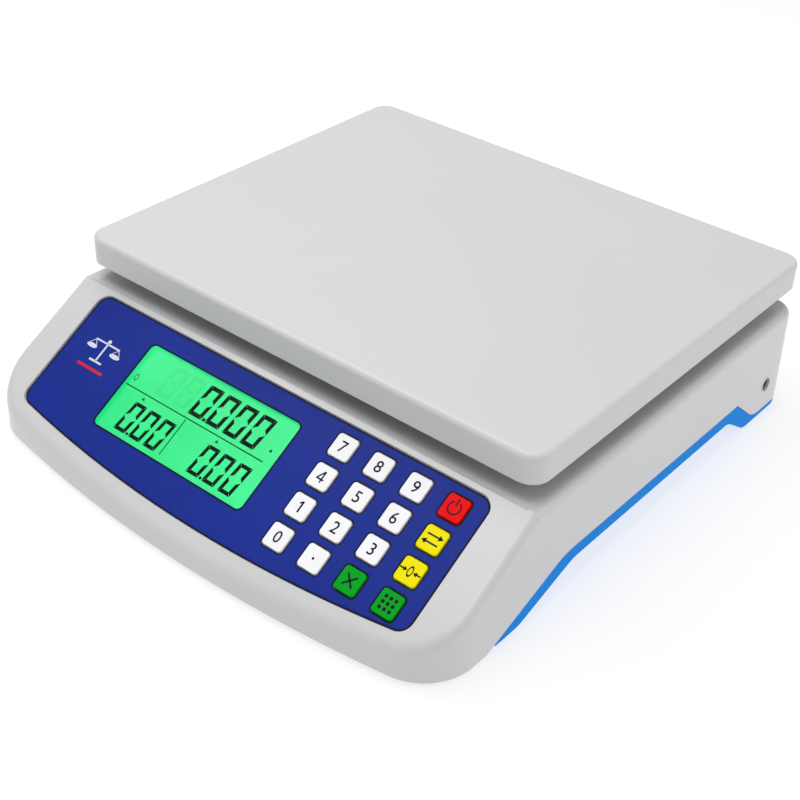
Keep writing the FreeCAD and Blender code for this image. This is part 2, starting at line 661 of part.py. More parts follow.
def tray_outside():
    """Two prisms: the visible band under the housing's edge, and the lip that stands inside it."""
    inner_inset = size("wall") + size("tray_front_gap")
    band = new_body("tray_band")
    sketch = new_sketch(band)
    draw_plan(sketch, inner_inset, size("tray_inset"))
    pad(band, sketch, "ground_clearance + skirt_height + 5*tool_spare")
    rim = [(-BEYOND, size("ground_clearance") + size("tray_floor"), 0)]
    gap = size("parting_gap")
    line = skirt_line(-gap)
    steepness = size("skirt_height") / (size("skirt_front_top_y") - size("skirt_front_y"))
    meets_floor = size("skirt_front_y") + (size("tray_floor") + gap) / steepness
    rim.append((min(meets_floor, size("tray_tip_y")), size("ground_clearance") + size("tray_floor"), 0))
    cut_over(band, rim + line[1:])
    cut_under(band, underside_line())
    lip = new_body("tray_lip")
    sketch = new_sketch(lip)
    draw_plan(sketch, inner_inset)
    pad(lip, sketch, "ground_clearance + skirt_height + 10*tool_spare")
    lip_rise = size("lip_height") - gap
    lip_low = size("ground_clearance") + size("tray_floor") + size("lip_height")
    cut_over(lip, [(-BEYOND, lip_low, 0), (meets_floor, lip_low, 0)] + skirt_line(lip_rise)[1:])
    cut_under(lip, underside_line())
    return joined("tray_outside", [band, lip])


def tray_standing():
    """Bosses, ribs, the cell's seat, the battery's cradle, the inlet's pedestal and the stop's boss."""
    standing = [block("cell_seat", ("cell_width + 2*tray_rib", "spacer_length + 2*tray_rib", MID_FLOOR),
                      ("-0.5*cell_width - tray_rib", CELL_END + " - spacer_length - tray_rib", "0"))]
    for number, (x, y) in enumerate(CASE_SCREW_PLACES):
        standing.append(cylinder("case_boss_%d" % number, "case_boss_radius",
                                 underside_at(y) + " + case_boss_height", (x, y, "0")))
    rim = "bay_clearance + cradle_wall"
    standing.append(block("cradle_outside", ("battery_width + 2*bay_clearance + 2*cradle_wall",
                                             "battery_depth + 2*bay_clearance + 2*cradle_wall",
                                             "cradle_height + tray_floor"),
                          ("battery_x - 0.5*battery_width - 1*(%s)" % rim,
                           "battery_y - 0.5*battery_depth - 1*(%s)" % rim, "ground_clearance + arch_height")))
    standing.append(block("inlet_pedestal", ("jack_length", "jack_width", "jack_z - 0.5*jack_height"),
                          (JACK_FACE_X + " - jack_length", "jack_y - 0.5*jack_width", "0")))
    standing.append(cylinder("stop_boss", "2*cell_screw_radius", MID_FLOOR + " + cell_screw_radius",
                             ("0", "pan_y - 0.5*cell_length + stop_inset", "0")))
    standing.append(cylinder("door_screw_boss", "door_boss_radius", MID_FLOOR + " + door_boss_height",
                             ("battery_x", DOOR_SCREW_Y, "0")))
    for number, x in enumerate(("-1*rib_inner_x", "rib_inner_x", "rib_middle_x", "rib_outer_x")):
        standing.append(block("rib_%d" % number, ("tray_rib", "arch_rear_top_y - arch_front_top_y",
                                                  MID_FLOOR + " + tray_rib_height"),
                              (x + " - 0.5*tray_rib", "arch_front_top_y", "0")))
    return standing


def tray_holes():
    """Foot recesses, screw holes with their counterbores, and the battery's opening."""
    holes = []
    for number, (x, y) in enumerate(FOOT_PLACES):
        holes.append(cylinder("foot_recess_%d" % number, "foot_radius + foot_clearance",
                              "ground_clearance + foot_recess", (x, y, "0")))
    for number, (x, y) in enumerate(CASE_SCREW_PLACES):
        holes.append(cylinder("case_hole_%d" % number, "case_screw_radius + 2*screw_clearance", "housing_top",
                              (x, y, "0")))
        holes.append(cylinder("case_counterbore_%d" % number, "case_head_radius + head_clearance",
                              underside_at(y) + " + case_head_depth", (x, y, "0")))
    for number, y in enumerate(FIXED_SCREWS):
        holes.append(cylinder("cell_hole_%d" % number, "cell_screw_radius + screw_clearance",
                              "housing_top", ("0", y, "0")))
        holes.append(cylinder("cell_counterbore_%d" % number, "cell_head_radius + foot_clearance",
                              "ground_clearance + arch_height", ("0", y, "0")))
    holes.append(cylinder("stop_hole", "stop_screw_radius + screw_clearance", "housing_top",
                          ("0", "pan_y - 0.5*cell_length + stop_inset", "0")))
    holes.append(cylinder("door_screw_hole", "board_screw_radius + screw_clearance",
                          MID_FLOOR + " + door_boss_height - pilot_spare", ("battery_x", DOOR_SCREW_Y, "0")))
    door = plate("door_recess", "door_width + 2*door_clearance", "door_depth + 2*door_clearance",
                 "10*tool_spare", "window_corner")
    holes.append(place(door, "battery_x", "battery_y", "ground_clearance + arch_height + door_thickness"))
    holes.append(block("battery_opening", ("battery_width + 2*bay_clearance",
                                           "battery_depth + 2*bay_clearance", "housing_top"),
                       ("battery_x - 0.5*battery_width - bay_clearance",
                        "battery_y - 0.5*battery_depth - bay_clearance", "0")))
    return holes


def base_tray():
    core = new_body("tray_core")
    sketch = new_sketch(core)
    draw_plan(sketch, size("wall") + size("tray_front_gap") + size("tray_wall"))
    pad(core, sketch, "ground_clearance + skirt_height + 15*tool_spare")
    cut_under(core, underside_line(size("tray_floor")))
    hollow = cut("tray_hollow", core, tray_standing())
    shell = cut("tray_shell", tray_outside(), [hollow])
    return cut("base_tray", shell, tray_holes())


# ---- weighing pan and the platform that carries it -------------------------------------------

def weighing_pan():
    """A shallow lid: top plate, skirt, crossed ribs and four sockets that drop over the pads."""
    body = new_body("weighing_pan")
    sketch = new_sketch(body)
    draw_rectangle(sketch, "pan_width", "pan_depth", "pan_corner")
    pad(body, sketch, "pan_height")
    high = size("pan_height")
    round_edges(body, "pan_edge_round", at_height(high))
    sketch = new_sketch(body)
    draw_rectangle(sketch, "pan_width - 2*pan_wall", "pan_depth - 2*pan_wall", "pan_corner - pan_wall")
    pocket(body, sketch, "pan_height - pan_wall", up=True)
    ceiling = "pan_height - pan_wall"
    half_x = size("pan_width") / 2 - size("pan_wall") / 2
    half_y = size("pan_depth") / 2 - size("pan_wall") / 2
    half_rib = size("pan_rib") / 2
    reach_x = size("spider_reach_x")
    reach_y = size("spider_reach_y")
    ribs = bar_corners([(0, 0, half_x, half_rib), (0, 0, half_rib, half_y), (reach_x, 0, half_rib, half_y),
                        (-reach_x, 0, half_rib, half_y), (0, reach_y, half_x, half_rib),
                        (0, -reach_y, half_x, half_rib)])
    for bar in ribs:
        sketch = new_sketch(body, height=ceiling)
        draw_outline(sketch, bar)
        pad(body, sketch, "pan_rib_height", down=True)
    sockets = new_sketch(body, height=ceiling)
    for x, y in PAD_PLACES:
        draw_circle(sockets, x, y, "pad_radius + pan_rib")
    pad(body, sockets, "%s + %s - 1*(%s)" % (PAN_FOOT, ceiling, PAD_TOP), down=True)
    holes = new_sketch(body, height="%s - 1*(%s)" % (PAD_TOP, PAN_FOOT))
    for x, y in PAD_PLACES:
        draw_circle(holes, x, y, "pad_nub_radius + pad_clearance")
    pocket(body, holes, "pad_nub_height + pad_clearance", up=True)
    return place(body, "0", "pan_y", PAN_FOOT)


def bar_corners(bars):
    """Corner lists of upright bars given as (middle x, middle y, half width, half depth)."""
    return [[(x - wide, y - deep, 0), (x + wide, y - deep, 0),
             (x + wide, y + deep, 0), (x - wide, y + deep, 0)]
            for x, y, wide, deep in bars]


def platform_spider():
    """A cast cross: a hub along the load cell, two crossed arms and a lug under each pad."""
    body = new_body("platform_spider")
    sketch = new_sketch(body)
    hub = size("spider_hub_width") / 2
    front = -size("cell_length") / 2
    rear = size("spider_hub_rear")
    corner = size("spider_corner")
    draw_outline(sketch, [(-hub, front, corner), (hub, front, corner),
                          (hub, rear, corner), (-hub, rear, corner)])
    pad(body, sketch, "spider_thickness")
    half = size("spider_arm_width") / 2
    reach = Vector(size("spider_reach_x"), size("spider_reach_y"), 0)
    for sign in (-1, 1):
        end = Vector(sign * reach.x, reach.y, 0)
        across = Vector(-end.y, end.x, 0).normalize() * half
        corners = [-end - across, end - across, end + across, -end + across]
        sketch = new_sketch(body)
        draw_outline(sketch, [(corner.x, corner.y, 0) for corner in corners])
        pad(body, sketch, "spider_thickness")
    lugs = new_sketch(body)
    for x, y in PAD_PLACES:
        draw_circle(lugs, x, y, "pad_radius + pad_stem_radius")
    pad(body, lugs, "spider_thickness")
    stems = new_sketch(body)
    for x, y in PAD_PLACES:
        draw_circle(stems, x, y, "pad_stem_radius + screw_clearance")
    pocket(body, stems, "spider_thickness + tool_spare", up=True)
    screws = new_sketch(body)
    for formula in FREE_SCREWS:
        draw_circle(screws, 0, size(formula) - size("pan_y"), "cell_screw_radius + screw_clearance")
    pocket(body, screws, "spider_thickness + tool_spare", up=True)
    return place(body, "0", "pan_y", SPIDER_FOOT)


def platform_pads():
    """Four rubber pads, each a flat collar with a stem in the spider and a nub in the pan."""
    pads = []
    for number, (x, y) in enumerate(PAD_PLACES):
        stem = size("pad_stem_length")
        high = size("pad_height")
        nub = high + size("pad_nub_height")
        piece = turned("platform_pad_%d" % number, [(0, -stem), (size("pad_stem_radius"), -stem),
                                                    (size("pad_stem_radius"), 0), (size("pad_radius"), 0),
                                                    (size("pad_radius"), high),
                                                    (size("pad_nub_radius"), high),
                                                    (size("pad_nub_radius"), nub), (0, nub)])
        pads.append(place(piece, at(x), "pan_y + %s" % at(y), SPIDER_TOP))
    return group("platform_pads", pads)


def bored_block(label, sides, corner, hole_ys, radius):
    base = block(label + "_block", sides, corner)
    tall = sides[2] + " + 2*tool_spare"
    drills = [cylinder("%s_hole_%d" % (label, number), radius, tall, ("0", y, corner[2] + " - tool_spare"))
              for number, y in enumerate(hole_ys)]
    return cut(label, base, drills)


def upper_spacer():
    height = "%s - 1*(%s)" % (SPIDER_FOOT, CELL_TOP)
    return bored_block("upper_spacer", ("cell_width", "spacer_length", height),
                       ("-0.5*cell_width", "pan_y - 0.5*cell_length", CELL_TOP), FREE_SCREWS,
                       "cell_screw_radius + screw_clearance")


def lower_spacer():
    return bored_block("lower_spacer", ("cell_width", "spacer_length", "lower_spacer_height"),
                       ("-0.5*cell_width", CELL_END + " - spacer_length", MID_FLOOR), FIXED_SCREWS,
                       "cell_screw_radius + screw_clearance")


def load_cell():
    """A single-point beam with two joined cross bores that leave four thin flexing places."""
    beam = block("cell_beam", ("cell_width", "cell_length", "cell_height"),
                 ("-0.5*cell_width", "pan_y - 0.5*cell_length", CELL_FOOT))
    middle = CELL_FOOT + " + 0.5*cell_height"
    tools = [cross_cylinder("cell_bore_%d" % sign, "cell_bore_radius", "cell_width + 2*tool_spare",
                            ("-0.5*cell_width - tool_spare", "pan_y + %d*cell_bore_spread" % sign, middle), 0)
             for sign in (-1, 1)]
    tools.append(block("cell_slot", ("cell_width + 2*tool_spare", "2*cell_bore_spread", "cell_bore_radius"),
                       ("-0.5*cell_width - tool_spare", "pan_y - cell_bore_spread",
                        middle + " - 0.5*cell_bore_radius")))
    radius = "cell_screw_radius + screw_clearance"
    for number, y in enumerate(FREE_SCREWS):
        tools.append(cylinder("cell_top_hole_%d" % number, radius, "cell_screw_depth + 4*pilot_spare",
                              ("0", y, CELL_TOP + " - cell_screw_depth - 2*pilot_spare")))
    for number, y in enumerate(FIXED_SCREWS):
        tools.append(cylinder("cell_foot_hole_%d" % number, radius, "cell_screw_depth + 4*pilot_spare",
                              ("0", y, CELL_FOOT + " - 2*pilot_spare")))
    return cut("load_cell", beam, tools)


def gauge_covers():
    """The sealing patches over the strain gauges, above and below the bores."""
    sides = ("gauge_width", "gauge_length", "gauge_thickness")
    x = "-0.5*gauge_width"
    y = "pan_y - 0.5*gauge_length"
    return group("gauge_covers", [block("gauge_cover_top", sides, (x, y, CELL_TOP)),
                                  block("gauge_cover_foot", sides, (x, y, CELL_FOOT + " - gauge_thickness"))])


def headed_screw(label, head_radius, head_height, shank_radius, shank_length):
    """A screw standing on its head: the head from z = 0 up, then the shank."""
    head = size(head_height)
    tip = head + size(shank_length)
    dish = 0.4 * head
    return turned(label, [(0, 0), (size(head_radius) - dish, 0), (size(head_radius), dish),
                          (size(head_radius), head), (size(shank_radius), head), (size(shank_radius), tip),
                          (0, tip)])


def cell_screws():
    """Two screws from under the tray into the cell's fixed end."""
    length = "tray_floor + lower_spacer_height + cell_screw_depth"
    screws = []
    for number, y in enumerate(FIXED_SCREWS):
        screw = headed_screw("cell_screw_%d" % number, "cell_head_radius", "cell_head_height",
                             "cell_screw_radius", length)
        screws.append(place(screw, "0", y, "ground_clearance + arch_height - cell_head_height"))
    return group("cell_screws", screws)


def spider_screws():
    """Two screws from above through the spider and its spacer into the cell's free end."""
    length = "spider_thickness + housing_top + spider_clearance - ground_clearance - arch_height" \
        " - tray_floor - lower_spacer_height - cell_height + cell_screw_depth"
    screws = []
    for number, y in enumerate(FREE_SCREWS):
        screw = headed_screw("spider_screw_%d" % number, "cell_head_radius", "cell_head_height",
                             "cell_screw_radius", length)
        screw.Placement = FreeCAD.Placement(Vector(), FreeCAD.Rotation(Vector(1, 0, 0), 180))
        screws.append(place(screw, "0", y, SPIDER_TOP + " + cell_head_height"))
    return group("spider_screws", screws)


def overload_stop():
    return cylinder("overload_stop", "stop_screw_radius",
                    "%s - stop_gap - ground_clearance - arch_height" % CELL_FOOT,
                    ("0", "pan_y - 0.5*cell_length + stop_inset", "ground_clearance + arch_height"))


# ---- control panel ---------------------------------------------------------------------------

def panel_overlay():
    blank = place_on_panel(bowed_plate("overlay_blank", 0.0, "overlay_thickness"),
                           below="recess - overlay_thickness")
    window = panel_cutter("overlay_window", "window_width", "window_length", "window_corner",
                          "window_x", "window_down")
    return cut("panel_overlay", blank, [window, key_cutter("overlay_key_windows")])


def front_lens():
    lens = plate("front_lens", "window_width + 2*lens_margin - 2*lens_clearance",
                 "window_length + 2*lens_margin - 2*lens_clearance", "lens_thickness",
                 "window_corner + lens_margin - lens_clearance")
    return place_on_panel(lens, "window_x", "window_down", "recess")


def control_key(name, row, column):
    """A cap that stands proud of the membrane, its retaining flange and its stem over the dome."""
    body = new_body(name)
    sketch = new_sketch(body)
    draw_rectangle(sketch, "key_width", "key_width", "key_corner")
    flange_z = "-1*(%s) + %s" % (KEY_FLANGE_BELOW, KEY_TOP_BELOW)
    pad(body, sketch, "%s - 1*(%s)" % (KEY_FLANGE_BELOW, KEY_TOP_BELOW), down=True)
    round_edges(body, "key_edge_round", at_height(0))
    sketch = new_sketch(body, height=flange_z)
    draw_rectangle(sketch, "key_flange", "key_flange", "key_corner")
    pad(body, sketch, "key_flange_thickness", down=True)
    sketch = new_sketch(body, height=flange_z + " - key_flange_thickness")
    draw_circle(sketch, 0, 0, "key_stem_radius")
    pad(body, sketch, "key_stem_length", down=True)
    return place_on_panel(body, "key_x + %d*key_pitch_x" % column, "key_down + %d*key_pitch_down" % row,
                          KEY_TOP_BELOW)


def key_mat():
    """One rubber sheet with a tapered dome under every key."""
    body = plate("key_mat", "3*key_pitch_x + key_flange", "3*key_pitch_down + key_width",
                 "mat_thickness", "mat_corner")
    for row in range(len(KEY_NAMES)):
        for column in range(len(KEY_NAMES[row])):
            x = (column - 1.5) * size("key_pitch_x")
            y = (1.5 - row) * size("key_pitch_down")
            dome = body.newObject("PartDesign::AdditiveCone", "key_dome")
            bind(dome, "Radius1", "dome_radius")
            bind(dome, "Radius2", "dome_top_radius")
            bind(dome, "Height", "dome_height")
            dome.Placement = FreeCAD.Placement(Vector(x, y, 0), FreeCAD.Rotation())
    doc.recompute()
    return place_on_panel(body, KEYS_MIDDLE_X, KEYS_MIDDLE_DOWN, MAT_BASE_BELOW)


def panel_plate(label, width, length, thickness, across, down, below):
    return place_on_panel(plate(label, width, length, thickness, "board_corner"), across, down, below)


def panel_screws(label, posts, board_below):
    screws = []
    for number, (across, down) in enumerate(posts):
        screw = headed_screw("%s_%d" % (label, number), "board_head_radius", "board_head_height",
                             "board_screw_radius", "board_screw_length")
        below = board_below + " + board_thickness + board_head_height"
        screws.append(place_on_panel(screw, across, down, below))
    return group(label, screws)


def holed_board(label, width, length, thickness, across, down, below, posts):
    """A circuit board with a clearance hole at each of its posts."""
    blank = panel_plate(label + "_blank", width, length, thickness, across, down, below)
    drills = []
    for number, (hole_across, hole_down) in enumerate(posts):
        drill = cylinder("%s_hole_%d" % (label, number), "board_screw_radius + screw_clearance",
                         "board_thickness + 2*tool_spare", ("0",) * 3)
        drills.append(place_on_panel(drill, hole_across, hole_down,
                                     below + " + board_thickness + tool_spare"))
    return cut(label, blank, drills)


def board_parts():
    """The processor, the cable's socket and the weighing converter under the main board."""
    below = MAIN_BOARD_BELOW + " + board_thickness"
    chip = panel_plate("processor", "chip_side", "chip_side", "chip_height",
                       "window_x - chip_left", "window_down", below)
    socket = panel_plate("board_socket", "socket_length", "socket_width", "socket_width",
                         "window_x + socket_right", "window_down - socket_up", below)
    converter = panel_plate("converter_chip", "converter_length", "converter_width", "chip_height",
                            "window_x + converter_right", "window_down + buzzer_down", below)
    return group("board_parts", [chip, socket, converter])


def buzzer():
    """A round can under the main board with a hole in its face."""
    across = "window_x - buzzer_left"
    down = "window_down + buzzer_down"
    face = MAIN_BOARD_BELOW + " + board_thickness + buzzer_height"
    can = cylinder("buzzer_can", "buzzer_radius", "buzzer_height", ("0",) * 3)
    place_on_panel(can, across, down, face)
    mouth = cylinder("buzzer_mouth", "buzzer_mouth_radius", "2*buzzer_mouth_radius", ("0",) * 3)
    place_on_panel(mouth, across, down, face + " + buzzer_mouth_radius")
    return cut("buzzer", can, [mouth])


# ---- rear display ----------------------------------------------------------------------------

def rear_piece(label, width, height, thickness, face_y):
    """An upright plate behind the rear window, its outer face at face_y."""
    return block(label, (width, thickness, height),
                 ("-0.5*(%s)" % width, "%s - 1*(%s)" % (face_y, thickness),
                  "rear_window_z - 0.5*(%s)" % height))


def rear_board():
    blank = rear_piece("rear_board_blank", "rear_board_width", "rear_board_height",
                       "board_thickness", REAR_BOARD_Y)
    drills = [cross_cylinder("rear_board_hole_%d" % number, "board_screw_radius + screw_clearance",
                             "board_thickness + 2*tool_spare",
                             (x, REAR_BOARD_Y + " - board_thickness - tool_spare", z), 1)
              for number, (x, z) in enumerate(REAR_POSTS)]
    return cut("rear_board", blank, drills)


def rear_board_screws():
    screws = []
    for number, (x, z) in enumerate(REAR_POSTS):
        screw = headed_screw("rear_board_screw_%d" % number, "board_head_radius", "board_head_height",
                             "board_screw_radius", "board_screw_length")
        screw.Placement = FreeCAD.Placement(Vector(), FreeCAD.Rotation(Vector(1, 0, 0), -90))
        screws.append(place(screw, x, REAR_BOARD_Y + " - board_thickness - board_head_height", z))
    return group("rear_board_screws", screws)


# ---- battery, power inlet, feet and case screws ----------------------------------------------

def battery():
    blank = block("battery_case", ("battery_width", "battery_depth", "battery_height"),
                  ("battery_x - 0.5*battery_width", "battery_y - 0.5*battery_depth",
                   "ground_clearance + arch_height + door_thickness + seat_gap"))
    terminals = [block("battery_terminal_%d" % sign, ("terminal_width", "terminal_length", "terminal_height"),
                       ("battery_x + %d*terminal_x - 0.5*terminal_width" % sign,
                        "battery_y - 0.5*terminal_length",
                        "ground_clearance + arch_height + door_thickness + seat_gap + battery_height"))
                 for sign in (-1, 1)]
    return joined("battery", [blank] + terminals)


def battery_door():
    door = plate("battery_door_blank", "door_width", "door_depth", "door_thickness",
                 "window_corner - door_clearance")
    place(door, "battery_x", "battery_y", "ground_clearance + arch_height + door_thickness")
    hole = cylinder("battery_door_hole", "board_screw_radius + screw_clearance",
                    "door_thickness + 2*tool_spare",
                    ("battery_x", DOOR_SCREW_Y, "ground_clearance + arch_height - tool_spare"))
    return cut("battery_door", door, [hole])


def battery_door_screw():
    screw = headed_screw("battery_door_screw", "board_head_radius", "board_head_height", "board_screw_radius",
                         "door_thickness + door_boss_height")
    return place(screw, "battery_x", DOOR_SCREW_Y, "ground_clearance + arch_height - board_head_height")


def power_inlet():
    """The adapter's socket: a block with a nose in the housing's hole, a bore and a centre pin."""
    body = block("inlet_body", ("jack_length", "jack_width", "jack_height"),
                 (JACK_FACE_X + " - jack_length", "jack_y - 0.5*jack_width", "jack_z - 0.5*jack_height"))
    nose = cross_cylinder("inlet_nose", "jack_nose_radius", "wall",
                          (JACK_FACE_X + " - jack_overlap", "jack_y", "jack_z"), 0)
    bore = cross_cylinder("inlet_bore", "jack_bore_radius", "jack_bore_depth + tool_spare",
                          (JACK_FACE_X + " + wall - jack_overlap - jack_bore_depth", "jack_y", "jack_z"), 0)
    pin = cross_cylinder("inlet_pin", "jack_pin_radius", "jack_bore_depth",
                         (JACK_FACE_X + " + wall - 2*jack_overlap - jack_bore_depth", "jack_y", "jack_z"), 0)
    hollow = cut("inlet_hollow", joined("inlet_solid", [body, nose]), [bore])
    return joined("power_inlet", [hollow, pin])


def rubber_feet():
    low = size("foot_chamfer")
    radius = size("foot_radius")
    high = size("ground_clearance") + size("foot_recess")
    profile = [(0, 0), (radius - low, 0), (radius, low), (radius, high), (0, high)]
    feet = [place(turned("foot_%d" % number, profile), x, y, "0")
            for number, (x, y) in enumerate(FOOT_PLACES)]
    return group("rubber_feet", feet)


def case_screws():
    screws = []
    for number, (x, y) in enumerate(CASE_SCREW_PLACES):
        screw = headed_screw("case_screw_%d" % number, "case_head_radius", "case_head_height",
                             "case_screw_radius", "case_screw_length")
        screws.append(place(screw, x, y, underside_at(y) + " + case_head_depth - case_head_height"))
    return group("case_screws", screws)


# ---- the whole scale -------------------------------------------------------------------------

def build_all():
    nodes = [upper_housing(), base_tray(), weighing_pan(), platform_spider(), platform_pads(), upper_spacer(),
             lower_spacer(), load_cell(), gauge_covers(), cell_screws(), spider_screws(), overload_stop(),
             panel_overlay(), front_lens(), key_mat(), board_parts(), buzzer(), rear_board(),
             rear_board_screws(), battery(), battery_door(), battery_door_screw(), power_inlet(),
             rubber_feet(), case_screws()]
    for row, names in enumerate(KEY_NAMES):
        for column, name in enumerate(names):
            nodes.append(control_key(name, row, column))
    nodes.append(panel_plate("front_display", "glass_width", "glass_length", "glass_thickness",
                             "window_x", "window_down", GLASS_BELOW))
    nodes.append(panel_plate("front_backlight", "glass_width - 2*glass_inset",
                             "glass_length - 2*glass_inset", "backlight_thickness",
                             "window_x", "window_down", BACKLIGHT_BELOW))
    nodes.append(holed_board("main_board", "main_board_width", "main_board_length", "board_thickness",
                             "window_x", "window_down", MAIN_BOARD_BELOW, MAIN_POSTS))
    nodes.append(panel_screws("main_board_screws", MAIN_POSTS, MAIN_BOARD_BELOW))
    nodes.append(holed_board("key_board", "key_board_width", "key_board_length", "board_thickness",
                             KEYS_MIDDLE_X, KEYS_MIDDLE_DOWN, KEY_BOARD_BELOW, KEY_POSTS))
    nodes.append(panel_screws("key_board_screws", KEY_POSTS, KEY_BOARD_BELOW))
    nodes.append(rear_piece("rear_lens", "rear_window_width - 2*lens_clearance",
                            "rear_window_height - 2*lens_clearance", "lens_thickness",
                            "housing_rear - rear_lens_inset"))
    nodes.append(rear_piece("rear_display", "rear_glass_width", "rear_glass_height",
                            "glass_thickness", REAR_GLASS_Y))
    nodes.append(rear_piece("rear_backlight", "rear_glass_width - 2*glass_inset",
                            "rear_glass_height - 2*glass_inset", "backlight_thickness",
                            REAR_GLASS_Y + " - glass_thickness - seat_gap"))
    return nodes


def check_document():
    doc.recompute()
    for item in doc.Objects:
        if "Invalid" in item.State or "Error" in item.State:
            raise RuntimeError("%s failed to recompute: %s" % (item.Label, item.State))


def write_steps(nodes):
    os.makedirs("parts", exist_ok=True)
    for node in nodes:
        shape = node.Shape
        if shape.isNull() or not shape.isValid() or not shape.Solids:
            raise RuntimeError("%s has no valid solid" % node.Label)
        shape.exportStep(os.path.join("parts", node.Label + ".step"))
        box = shape.BoundBox
        print("%-20s %2d solid(s) %10.1f mm3  x %7.1f..%7.1f  y %7.1f..%7.1f  z %6.1f..%6.1f" % (
            node.Label, len(shape.Solids), shape.Volume,
            box.XMin, box.XMax, box.YMin, box.YMax, box.ZMin, box.ZMax))


scale_nodes = build_all()
check_document()
write_steps(scale_nodes)
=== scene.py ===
import json
import math
from collections import namedtuple

import bpy
from mathutils import Matrix, Vector

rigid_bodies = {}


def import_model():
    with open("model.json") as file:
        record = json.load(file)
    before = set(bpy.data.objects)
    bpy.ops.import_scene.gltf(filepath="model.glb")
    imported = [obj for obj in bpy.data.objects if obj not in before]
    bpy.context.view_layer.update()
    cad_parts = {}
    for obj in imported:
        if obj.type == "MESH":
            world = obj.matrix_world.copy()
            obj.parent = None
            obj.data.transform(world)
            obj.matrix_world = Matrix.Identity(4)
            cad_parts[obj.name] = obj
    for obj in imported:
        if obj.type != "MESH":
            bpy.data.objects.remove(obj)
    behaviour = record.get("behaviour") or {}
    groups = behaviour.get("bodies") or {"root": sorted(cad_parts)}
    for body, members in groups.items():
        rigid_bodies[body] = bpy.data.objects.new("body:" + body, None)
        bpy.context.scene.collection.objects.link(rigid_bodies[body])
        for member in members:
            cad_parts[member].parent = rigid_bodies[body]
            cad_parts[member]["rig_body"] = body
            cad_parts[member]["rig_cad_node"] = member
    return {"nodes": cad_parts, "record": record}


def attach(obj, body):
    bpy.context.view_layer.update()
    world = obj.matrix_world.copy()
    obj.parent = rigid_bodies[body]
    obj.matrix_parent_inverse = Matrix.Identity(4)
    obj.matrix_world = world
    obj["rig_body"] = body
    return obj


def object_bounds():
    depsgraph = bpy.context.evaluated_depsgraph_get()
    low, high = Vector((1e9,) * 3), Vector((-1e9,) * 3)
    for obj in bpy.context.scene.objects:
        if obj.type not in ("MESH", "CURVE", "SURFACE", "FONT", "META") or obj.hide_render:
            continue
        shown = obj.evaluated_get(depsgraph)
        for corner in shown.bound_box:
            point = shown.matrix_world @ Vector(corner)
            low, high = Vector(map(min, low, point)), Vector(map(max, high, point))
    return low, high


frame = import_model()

# The looks of a counter-top price scale, in the scale's own frame: X to the right, Y to the rear,
# Z up. The frame is in metres. Prints, display marks and the door's ribs are drawn flat, with their
# sizes in millimetres, and then laid on their faces. The sloping control panel has its own
# directions: across is X, up runs up the slope away from the user, and out stands square to it.

cad_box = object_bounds()
record = frame["record"]

MM = 0.001
SLOTS = {part["node"]: part["material_slot"] for part in record["subparts"]}
KEYS = ["key_" + cap for cap in "7 8 9 power 4 5 6 mode 1 2 3 tare 0 point clear count".split()]

# A key is pressed square to the panel, so its joint's axis gives the panel's directions.
PRESS = next(joint["axis"] for joint in record["behaviour"]["joints"] if joint["name"] == "key_0_press")
PANEL_OUT = -Vector(PRESS).normalized()
PANEL_UP = Vector((0, PANEL_OUT.z, -PANEL_OUT.y))
PANEL_SLOPE = math.atan2(-PANEL_OUT.y, PANEL_OUT.z)
REAR_OUT = Vector((0, 1, 0))
DOWN = Vector((0, 0, -1))

# Millimetres.
PRINT_THICKNESS = 0.06
KEY_DIGIT_HEIGHT = 6.0
SIGN_SCALE = 1.2
KEY_WINDOW = 12.9
KEY_WINDOW_CORNER = 2.2
KEY_OUTLINE = 0.5
MEMBRANE_LINE = 0.85
SEGMENT_GAP = 0.4

Digits = namedtuple("Digits", "width height pitch line")
BIG_DIGITS = Digits(width=9.1, height=18.0, pitch=11.9, line=2.2)
SMALL_DIGITS = Digits(width=8.0, height=17.0, pitch=10.7, line=1.95)
REAR_DIGITS = Digits(width=9.2, height=17.0, pitch=12.5, line=1.75)
ZERO = ("top", "foot", "upper_left", "upper_right", "lower_left", "lower_right")
EIGHT = ZERO + ("middle",)

DIGIT_SLANT = Matrix.Identity(4)
DIGIT_SLANT[0][1] = math.tan(math.radians(6.5))


# ---- camera, light and floor -----------------------------------------------------------------

def look_from(stand, aim):
    """The matrix that stands a camera or lamp somewhere and aims it."""
    turn = (Vector(aim) - Vector(stand)).to_track_quat("-Z", "Y").to_matrix().to_4x4()
    return Matrix.Translation(stand) @ turn


def make_camera():
    """Above the front right corner, turned a little about its own line of sight."""
    camera_data = bpy.data.cameras.new("camera")
    camera_data.sensor_width = 36
    camera_data.lens = 63.57
    camera_data.clip_start = 0.01
    camera = bpy.data.objects.new("camera", camera_data)
    bpy.context.scene.collection.objects.link(camera)
    roll = Matrix.Rotation(math.radians(2.14), 4, "Z")
    camera.matrix_world = look_from((0.3931, -0.47755, 0.4406), (0.0731, -0.0826, 0.0857)) @ roll
    bpy.context.scene.camera = camera


def make_softbox(name, stand, aim, sides, watts):
    lamp_data = bpy.data.lights.new(name, "AREA")
    lamp_data.shape = "RECTANGLE"
    lamp_data.size, lamp_data.size_y = sides
    lamp_data.energy = watts
    lamp = bpy.data.objects.new(name, lamp_data)
    bpy.context.scene.collection.objects.link(lamp)
    lamp.matrix_world = look_from(stand, aim)


